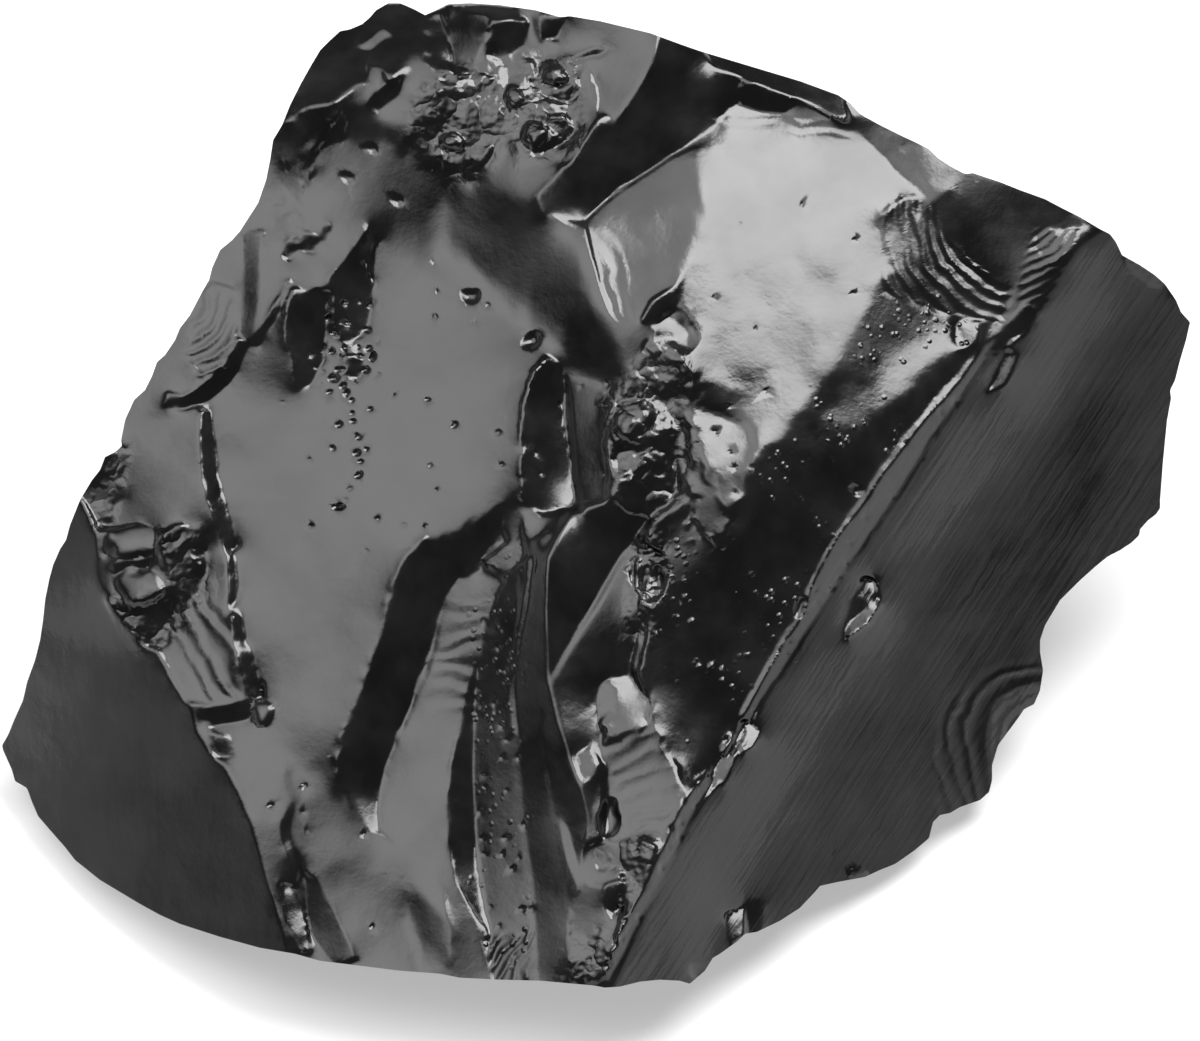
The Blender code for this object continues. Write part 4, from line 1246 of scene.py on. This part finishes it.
@dataclass
class Chunk:
    """The whole stone as one closed mesh: a fine front, a coarser hidden side, and a cut base.

    The front's grid has twice as many cells along each side as the back's, and `triangles` is
    how many are left when the mesh is thinned. `lowest_rim` is how near the outline comes to
    the floor, in metres, and `crease` is the angle in degrees from which an edge is sharp. The
    covers' borders waver and fade over some drawing units.
    """

    faces: list[Face]
    marks: list[Mark]
    outline: Outline
    front_cells: int = 480
    back_cells: int = 240
    triangles: int = 186_000
    lowest_rim: float = 0.0022
    crease: float = 38.0
    cut_reach: float = 1.0e-7
    cover_waver: float = 7.0
    cover_waver_size: float = 50.0
    cover_fade: float = 20.0
    cover_margin: float = 30.0
    lift: float = field(init=False, default=0.0)
    shift: Vector = field(init=False)

    def build(self) -> bpy.types.Object:
        """Work out both sides, join them along the rim, and cut the underside flat.

        Returns:
            The finished stone, placed in the world by its mesh.
        """
        surface = FrontSurface(self.faces).relief()
        rim = Rim(self.outline, surface)
        corners = np.array(self.outline, dtype=float)
        edge = self._world(corners[:, 0], corners[:, 1], surface.read(corners[:, 0], corners[:, 1]))
        self.lift = self.lowest_rim - float(edge[:, 2].min())

        x, y, _, _ = self._spread(self.front_cells, rim)
        front = self._world(x, y, lay_marks(self.marks, x, y, surface.read(x, y)))
        back_x, back_y, share, angle = self._spread(self.back_cells, rim)
        over = lay_marks(self.marks, back_x, back_y, surface.read(back_x, back_y)) * DRAWING.unit
        behind = HiddenSide(rim, self.lift).height(back_x, back_y, share, angle, over)
        back = self._world(back_x, back_y, behind / DRAWING.unit)

        drawn = np.concatenate([np.stack([x, y], axis=-1).reshape(-1, 2),
                                np.stack([back_x, back_y], axis=-1).reshape(-1, 2)])
        places = np.concatenate([front.reshape(-1, 3), back.reshape(-1, 3)])
        mesh = self._thinned(self._mesh(places, drawn, x.size))
        self._cut_flat(mesh)
        self._centre(mesh)
        mesh.shade_smooth()
        mesh.set_sharp_from_angle(angle=math.radians(self.crease))
        stone = bpy.data.objects.new("obsidian_stone", mesh)
        bpy.context.scene.collection.objects.link(stone)
        return stone

    def _world(self, x_draw: Array, y_draw: Array, height: Array) -> Array:
        """World places of drawing points that stand at a height in drawing units."""
        unit = DRAWING.unit
        return DRAWING.world((x_draw - DRAWING.middle[0]) * unit, (DRAWING.middle[1] - y_draw) * unit,
                             height * unit, self.lift)

    @staticmethod
    def _spread(cells: int, rim: Rim) -> tuple[Array, Array, Array, Array]:
        """A square grid carried onto the outline, ring by ring (concentric square to disc).

        Args:
            cells: cells along each side of the grid.
            rim: the outline that the grid's border lands on.

        Returns:
            Drawing x and y, the share of the way from the middle to the rim, and the direction.
        """
        line = np.linspace(-1.0, 1.0, cells + 1)
        u, v = np.meshgrid(line, line)
        sideways = np.abs(u) > np.abs(v)
        radius = np.where(sideways, u, v)
        across = 0.25 * math.pi * v / np.where(u == 0.0, 1.0, u)
        along = 0.5 * math.pi - 0.25 * math.pi * u / np.where(v == 0.0, 1.0, v)
        angle = np.where(sideways, across, along) + np.where(radius < 0.0, math.pi, 0.0)
        angle = np.arctan2(np.sin(angle), np.cos(angle))
        share = np.abs(radius)
        reach = rim.reach(angle) * share
        return (DRAWING.middle[0] + reach * np.cos(angle), DRAWING.middle[1] + reach * np.sin(angle),
                share, angle)

    @staticmethod
    def _border(cells: int) -> Array:
        """Indices of a square grid's border points, once round from its first corner."""
        index = np.arange((cells + 1) ** 2).reshape(cells + 1, cells + 1)
        return np.concatenate([index[0, :-1], index[:-1, -1], index[-1, :0:-1], index[:0:-1, 0]])

    @staticmethod
    def _squares(cells: int, first: int, order: tuple[int, ...]) -> Array:
        """Corners of a square grid's cells, one row each, from a first index, gone round in order."""
        index = first + np.arange((cells + 1) ** 2).reshape(cells + 1, cells + 1)
        corners = (index[:-1, :-1], index[1:, :-1], index[1:, 1:], index[:-1, 1:])
        return np.stack([corners[k] for k in order], axis=-1).reshape(-1, 4)

    def _polygons(self) -> list[list[int]]:
        """Squares of both sides, and the strip that joins two fine steps to one coarse step."""
        offset = (self.front_cells + 1) ** 2
        near = self._squares(self.front_cells, 0, (0, 1, 2, 3))
        far = self._squares(self.back_cells, offset, (0, 3, 2, 1))
        fine = self._border(self.front_cells)
        coarse = self._border(self.back_cells) + offset
        first, middle, last = fine[0::2], fine[1::2], np.roll(fine, -2)[0::2]
        after = np.roll(coarse, -1)
        strip = np.concatenate([np.stack([coarse, first, middle], axis=-1),
                                np.stack([coarse, middle, after], axis=-1),
                                np.stack([after, middle, last], axis=-1)])
        return near.tolist() + far.tolist() + strip.tolist()

    def _mesh(self, places: Array, drawn: Array, front_count: int) -> bpy.types.Mesh:
        """Put both sides into one mesh that carries its drawing places and its covers.

        Args:
            places: world place of each point, the front's first.
            drawn: drawing place of each point.
            front_count: how many of the points are the front's.

        Returns:
            The closed mesh.
        """
        mesh = bpy.data.meshes.new("fine_stone")
        mesh.from_pydata(places.tolist(), [], self._polygons())
        layer = mesh.attributes.new("drawn", "FLOAT_VECTOR", "POINT")
        coords = np.column_stack([drawn * DRAWING.unit, np.zeros(len(drawn))])
        layer.data.foreach_set("vector", coords.astype(np.float32).ravel())
        self._paint(mesh, drawn, front_count)
        return mesh

    def _paint(self, mesh: bpy.types.Mesh, drawn: Array, front_count: int) -> None:
        """Write how each finish covers the stone, as attributes from 0 to 1.

        Each cover is 1 well inside its outlines and fades over their borders; the hidden side
        has the finish of a fresh break.

        Args:
            mesh: the mesh that gets the attributes.
            drawn: drawing place of each of its points.
            front_count: how many of the points are the front's.
        """
        x, y = drawn[:, 0], drawn[:, 1]
        front = np.zeros(len(drawn))
        front[:front_count] = 1.0
        waver = self.cover_waver * rough_noise(x, y, self.cover_waver_size, Seed.COVER_WAVER)
        for finish, outlines in FINISH_COVERS.items():
            cover = np.zeros(len(drawn))
            for outline in outlines:
                near = near_box(x, y, outline, self.cover_margin)
                depth = inside_distance(x[near], y[near], outline) + waver[near]
                cover[near] = np.maximum(cover[near], ease(0.5 + depth / self.cover_fade))
            layer = mesh.attributes.new(finish.value, "FLOAT", "POINT")
            layer.data.foreach_set("value", (cover * front).astype(np.float32))

    def _thinned(self, mesh: bpy.types.Mesh) -> bpy.types.Mesh:
        """Merge the smallest facets of the flatter ground until a count of triangles is left."""
        count = sum(len(polygon.vertices) - 2 for polygon in mesh.polygons)
        holder = bpy.data.objects.new("fine_stone", mesh)
        bpy.context.scene.collection.objects.link(holder)
        thin = holder.modifiers.new("thin_out", "DECIMATE")
        thin.ratio = self.triangles / count
        ready = holder.evaluated_get(bpy.context.evaluated_depsgraph_get())
        thinned = bpy.data.meshes.new_from_object(ready)
        thinned.name = "obsidian_stone"
        bpy.data.objects.remove(holder)
        return thinned

    def _cut_flat(self, mesh: bpy.types.Mesh) -> None:
        """Cut the mesh off at the floor, close the cut, and turn its faces outwards."""
        body = bmesh.new()
        body.from_mesh(mesh)
        bmesh.ops.bisect_plane(
            body, geom=body.verts[:] + body.edges[:] + body.faces[:], plane_co=(0.0, 0.0, 0.0),
            plane_no=(0.0, 0.0, -1.0), clear_outer=True, dist=self.cut_reach)
        filled = bmesh.ops.holes_fill(body, edges=[edge for edge in body.edges if edge.is_boundary])
        bmesh.ops.triangulate(body, faces=filled["faces"])
        bmesh.ops.recalc_face_normals(body, faces=body.faces)
        if body.calc_volume(signed=True) < 0.0:
            bmesh.ops.reverse_faces(body, faces=body.faces)
        body.to_mesh(mesh)
        body.free()

    def _centre(self, mesh: bpy.types.Mesh) -> None:
        """Move the mesh so that its box lies over the middle of the node's box."""
        low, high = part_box(NODE)
        points = np.empty(len(mesh.vertices) * 3, dtype=np.float32)
        mesh.vertices.foreach_get("co", points)
        points = points.reshape(-1, 3)
        middle = 0.5 * (points.min(axis=0) + points.max(axis=0))
        self.shift = Vector((0.5 * (low.x + high.x) - float(middle[0]),
                             0.5 * (low.y + high.y) - float(middle[1]), 0.0))
        mesh.transform(Matrix.Translation(self.shift))


# ---------------------------------------------------------------- materials

def linear(colour: str) -> tuple[float, float, float, float]:
    """Turn an sRGB hex colour into linear red, green, blue and alpha."""
    values = [int(colour[i:i + 2], 16) / 255.0 for i in (1, 3, 5)]
    red, green, blue = (v / 12.92 if v <= 0.04045 else ((v + 0.055) / 1.055) ** 2.4 for v in values)
    return red, green, blue, 1.0


def add_node(tree: Tree, kind: str, inputs: dict[int | str, Any] | None = None,
             out: int | str = 0, **settings: Any) -> Socket | None:
    """Add a shader node.

    Args:
        tree: the node tree that gets it.
        kind: Blender's name for the kind of node, after "ShaderNode".
        inputs: socket name or number to a value, or to another node's output.
        out: name or number of the output that is wanted.
        settings: the node's own settings.

    Returns:
        The wanted output, or None where the node is the end of its tree.
    """
    node = tree.nodes.new("ShaderNode" + kind)
    for name, value in settings.items():
        setattr(node, name, value)
    for key, value in (inputs or {}).items():
        if isinstance(value, Socket):
            tree.links.new(value, node.inputs[key])
        else:
            node.inputs[key].default_value = value
    return node.outputs[out] if node.outputs else None


@dataclass(frozen=True)
class VolcanicGlass:
    """Obsidian: natural silica glass, broken by blows and slightly weathered.

    The glass is close to black, with an IOR of 1.5. Fresh conchoidal breaks are glossy, with
    fine ripples and hackle lines; older breaks have a satin skin and pin-prick bubbles. Each
    pattern has the width of its features and how far it stands out, in millimetres, and a pair
    of levels says between which values a pattern comes and goes.
    """

    glass: str = "#060607"
    skin: str = "#101011"
    ior: float = 1.5
    fresh_roughness: float = 0.12
    skin_roughness: float = 0.23
    skin_levels: Point = (0.35, 0.65)
    noise_roughness: float = 0.55
    grain_mm: float = 0.30
    grain_height_mm: float = 0.006
    swell_mm: float = 4.0
    swell_height_mm: float = 0.05
    speck_mm: float = 0.75
    speck_height_mm: float = 0.09
    speck_levels: Point = (0.10, 0.34)
    cluster_mm: float = 3.75
    cluster_levels: Point = (0.48, 0.66)
    crumb_mm: float = 1.9
    crumb_cell_mm: float = 2.28
    crumb_push_mm: float = 2.6
    crumb_height_mm: float = 0.26
    crumb_levels: Point = (0.0, 0.8)
    crumb_roughness: float = 0.6
    streak_mm: float = 0.45
    streak_length_mm: float = 12.0
    streak_height_mm: float = 0.036
    streak_turn: float = 33.2
    ripple_mm: float = 0.9
    ripple_length_mm: float = 3.6
    ripple_height_mm: float = 0.013

    def material(self) -> bpy.types.Material:
        """Build the glass, with the relief of each finish kept to its cover on the stone."""
        material = bpy.data.materials.new("obsidian_broken_glass")
        material.use_nodes = True
        tree = material.node_tree
        tree.nodes.clear()
        place = add_node(tree, "TexCoord", out="Object")
        drawn = add_node(tree, "Attribute", out="Vector", attribute_name="drawn")
        grain = add_node(tree, "TexNoise", {
            "Vector": place, "Scale": METRE_MM / self.grain_mm, "Detail": 1.0,
            "Roughness": self.noise_roughness})
        swell = add_node(tree, "TexNoise", {
            "Vector": place, "Scale": METRE_MM / self.swell_mm, "Detail": 3.0,
            "Roughness": self.noise_roughness})
        reliefs = (
            (grain, self.grain_height_mm, None),
            (swell, self.swell_height_mm, None),
            (self._specks(tree, place), self.speck_height_mm, Cover.SPECKLED),
            (self._crumbs(tree, place), self.crumb_height_mm, Cover.RUGGED),
            (self._streaks(tree, drawn), self.streak_height_mm, Cover.STREAKED),
            (self._ripples(tree, drawn), self.ripple_height_mm, Cover.RIPPLED),
        )
        total = 0.0
        for pattern, height_mm, cover in reliefs:
            relief = add_node(tree, "Math", {0: pattern, 1: height_mm}, operation="MULTIPLY")
            if cover is not None:
                painted = add_node(tree, "Attribute", out="Fac", attribute_name=cover.value)
                relief = add_node(tree, "Math", {0: relief, 1: painted}, operation="MULTIPLY")
            total = add_node(tree, "Math", {0: total, 1: relief}, operation="ADD")
        bump = add_node(tree, "Bump", {"Height": total, "Strength": 1.0, "Distance": 1.0 / METRE_MM})

        low, high = self.skin_levels
        patches = add_node(tree, "MapRange", {"Value": swell, "From Min": low, "From Max": high})
        colour = add_node(tree, "Mix", {0: patches, 6: linear(self.glass), 7: linear(self.skin)},
                          out=2, data_type="RGBA")
        roughness = add_node(tree, "MapRange", {
            "Value": patches, "To Min": self.fresh_roughness, "To Max": self.skin_roughness})
        glass = add_node(tree, "BsdfPrincipled", {
            "Base Color": colour, "Roughness": roughness, "IOR": self.ior,
            "Metallic": 0.0, "Normal": bump})
        add_node(tree, "OutputMaterial", {"Surface": glass})
        return material

    def _specks(self, tree: Tree, place: Socket) -> Socket:
        """Scattered round pimples of glass: near the points of a Voronoi pattern, in clusters."""
        cells = add_node(tree, "TexVoronoi", {
            "Vector": place, "Scale": METRE_MM / self.speck_mm, "Randomness": 1.0}, out="Distance")
        low, high = self.speck_levels
        dots = add_node(tree, "MapRange", {
            "Value": cells, "From Min": low, "From Max": high, "To Min": 1.0, "To Max": 0.0})
        spread = add_node(tree, "TexNoise", {
            "Vector": place, "Scale": METRE_MM / self.cluster_mm, "Detail": 2.0,
            "Roughness": self.noise_roughness})
        low, high = self.cluster_levels
        clusters = add_node(tree, "MapRange", {"Value": spread, "From Min": low, "From Max": high})
        return add_node(tree, "Math", {0: dots, 1: clusters}, operation="MULTIPLY")

    def _crumbs(self, tree: Tree, place: Socket) -> Socket:
        """Eaten ground: rounded Voronoi cells, pushed about by noise."""
        push = add_node(tree, "TexNoise", {
            "Vector": place, "Scale": METRE_MM / self.crumb_mm, "Detail": 2.0,
            "Roughness": self.crumb_roughness}, out="Color")
        pushed = add_node(tree, "VectorMath", {0: push, 1: (self.crumb_push_mm / METRE_MM,) * 3},
                          operation="MULTIPLY")
        moved = add_node(tree, "VectorMath", {0: place, 1: pushed}, operation="ADD")
        cells = add_node(tree, "TexVoronoi", {
            "Vector": moved, "Scale": METRE_MM / self.crumb_cell_mm}, out="Distance")
        low, high = self.crumb_levels
        return add_node(tree, "MapRange", {
            "Value": cells, "From Min": low, "From Max": high, "To Min": 1.0, "To Max": 0.0})

    def _streaks(self, tree: Tree, drawn: Socket) -> Socket:
        """Hackle lines: noise drawn out along the long ridge."""
        along = add_node(tree, "VectorRotate", {
            "Vector": drawn, "Axis": (0.0, 0.0, 1.0), "Angle": math.radians(-self.streak_turn)})
        stretched = add_node(tree, "VectorMath", {
            0: along, 1: (METRE_MM / self.streak_mm, METRE_MM / self.streak_length_mm, 1.0)},
            operation="MULTIPLY")
        return add_node(tree, "TexNoise", {"Vector": stretched, "Scale": 1.0, "Detail": 2.0})

    def _ripples(self, tree: Tree, drawn: Socket) -> Socket:
        """Faint upright ripples of the steep left face: noise drawn out upwards."""
        stretched = add_node(tree, "VectorMath", {
            0: drawn, 1: (METRE_MM / self.ripple_mm, METRE_MM / self.ripple_length_mm, 1.0)},
            operation="MULTIPLY")
        return add_node(tree, "TexNoise", {"Vector": stretched, "Scale": 1.0, "Detail": 1.0})


# ---------------------------------------------------------------- the studio

@dataclass(frozen=True)
class Glow:
    """A soft light area of the studio's dome: its direction, half-widths in degrees, strength."""

    direction: Triple
    full: float
    none: float
    strength: float


@dataclass
class Studio:
    """A light table under a dim dome with two soft overhead lights and a smaller bright one.

    The horizon glows at both sides: `horizon_sides` is how far sideways a ray points where the
    glow starts and where it is full, and `horizon_height` is how far up it points where the
    glow is full and where it ends. `shift` and `lift` say where the drawing's middle is, sizes
    and clips are in metres, and the frame is in drawing units.
    """

    shift: Vector
    lift: float
    table_size: float = 6.0
    table_colour: str = "#bababa"
    table_roughness: float = 0.9
    table_shine: float = 0.1
    table_glow: float = 0.42
    light_colour: str = "#ffffff"
    room: float = 0.13
    horizon: float = 0.75
    horizon_sides: Point = (0.5, 0.9)
    horizon_height: Point = (0.10, 0.50)
    frame_middle: Point = (600.0, 520.5)
    frame_width: float = 1200.0
    sensor_mm: float = 36.0
    clips: Point = (0.05, 20.0)
    glows: tuple[Glow, ...] = (
        Glow((-0.30, 0.10, 0.95), 2.0, 42.0, 3.6),
        Glow((-0.34, -0.08, 0.93), 0.0, 24.0, 1.1),
        Glow((0.37, 0.29, 0.88), 14.0, 22.0, 12.5),
    )

    def build(self) -> None:
        """Make the floor, the dome of light and the camera."""
        self._floor()
        self._dome()
        self._camera()
        bpy.context.scene.view_settings.view_transform = "Standard"

    def _floor(self) -> None:
        """The top of a light table: opal acrylic, matt and faintly lit from below."""
        half = 0.5 * self.table_size
        mesh = bpy.data.meshes.new("studio_floor")
        mesh.from_pydata([(-half, -half, 0.0), (half, -half, 0.0), (half, half, 0.0), (-half, half, 0.0)],
                         [], [(0, 1, 2, 3)])
        floor = bpy.data.objects.new("studio_floor", mesh)
        bpy.context.scene.collection.objects.link(floor)
        acrylic = bpy.data.materials.new("opal_acrylic_light_table")
        acrylic.use_nodes = True
        shader = acrylic.node_tree.nodes["Principled BSDF"]
        shader.inputs["Base Color"].default_value = linear(self.table_colour)
        shader.inputs["Roughness"].default_value = self.table_roughness
        shader.inputs["Specular IOR Level"].default_value = self.table_shine
        shader.inputs["Emission Color"].default_value = linear(self.light_colour)
        shader.inputs["Emission Strength"].default_value = self.table_glow
        mesh.materials.append(acrylic)

    def _dome(self) -> None:
        """Light from all round: a dim room, the soft lights, and a pale horizon at the sides."""
        world = bpy.data.worlds.new("studio_dome")
        bpy.context.scene.world = world
        world.use_nodes = True
        tree = world.node_tree
        tree.nodes.clear()
        ray = add_node(tree, "TexCoord", out="Generated")
        total = self.room
        for glow in self.glows:
            nearness = add_node(tree, "VectorMath", {0: ray, 1: Vector(glow.direction).normalized()},
                                out="Value", operation="DOT_PRODUCT")
            light = add_node(tree, "MapRange", {
                "Value": nearness, "From Min": math.cos(math.radians(glow.none)),
                "From Max": math.cos(math.radians(glow.full)), "To Max": glow.strength},
                interpolation_type="SMOOTHSTEP")
            total = add_node(tree, "Math", {0: total, 1: light}, operation="ADD")
        right = add_node(tree, "SeparateXYZ", {0: ray}, out="X")
        sideways = add_node(tree, "Math", {0: right}, operation="ABSOLUTE")
        start, full = self.horizon_sides
        sides = add_node(tree, "MapRange", {"Value": sideways, "From Min": start, "From Max": full},
                         interpolation_type="SMOOTHSTEP")
        up = add_node(tree, "SeparateXYZ", {0: ray}, out="Z")
        full, end = self.horizon_height
        low = add_node(tree, "MapRange", {
            "Value": up, "From Min": full, "From Max": end, "To Min": self.horizon, "To Max": 0.0},
            interpolation_type="SMOOTHSTEP")
        band = add_node(tree, "Math", {0: sides, 1: low}, operation="MULTIPLY")
        total = add_node(tree, "Math", {0: total, 1: band}, operation="ADD")
        background = add_node(tree, "Background", {"Color": linear(self.light_colour), "Strength": total})
        add_node(tree, "OutputWorld", {"Surface": background})

    def _camera(self) -> None:
        """A long lens square to the drawing plane, framed on the drawing's own frame."""
        data = bpy.data.cameras.new("studio_camera")
        camera = bpy.data.objects.new("studio_camera", data)
        bpy.context.scene.collection.objects.link(camera)
        sin_e, cos_e = DRAWING.axes
        right = Vector((1.0, 0.0, 0.0))
        up = Vector((0.0, sin_e, cos_e))
        toward = Vector((0.0, -cos_e, sin_e))
        x = (self.frame_middle[0] - DRAWING.middle[0]) * DRAWING.unit
        y = (DRAWING.middle[1] - self.frame_middle[1]) * DRAWING.unit
        aim = Vector((0.0, 0.0, self.lift)) + self.shift + x * right + y * up
        data.sensor_width = self.sensor_mm
        data.lens = self.sensor_mm * DRAWING.distance / (self.frame_width * DRAWING.unit)
        data.clip_start, data.clip_end = self.clips
        turn = Matrix((right, up, toward)).transposed()
        camera.matrix_world = Matrix.Translation(aim + DRAWING.distance * toward) @ turn.to_4x4()
        bpy.context.scene.camera = camera


# ---------------------------------------------------------------- building it


def main() -> None:
    """Build the stone and the studio, and report each piece."""
    logging.basicConfig(level=logging.INFO, format="%(name)s: %(message)s")
    chunk = Chunk(FACES, MARKS, OUTLINE)
    stone = chunk.build()
    stone.data.materials.append(VolcanicGlass().material())
    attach(stone, "root")
    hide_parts(NODE)
    LOG.info("stone: %d faces", len(stone.data.polygons))
    Studio(chunk.shift, chunk.lift).build()
    LOG.info("studio: floor, dome and camera")


if __name__ == "__main__":
    main()
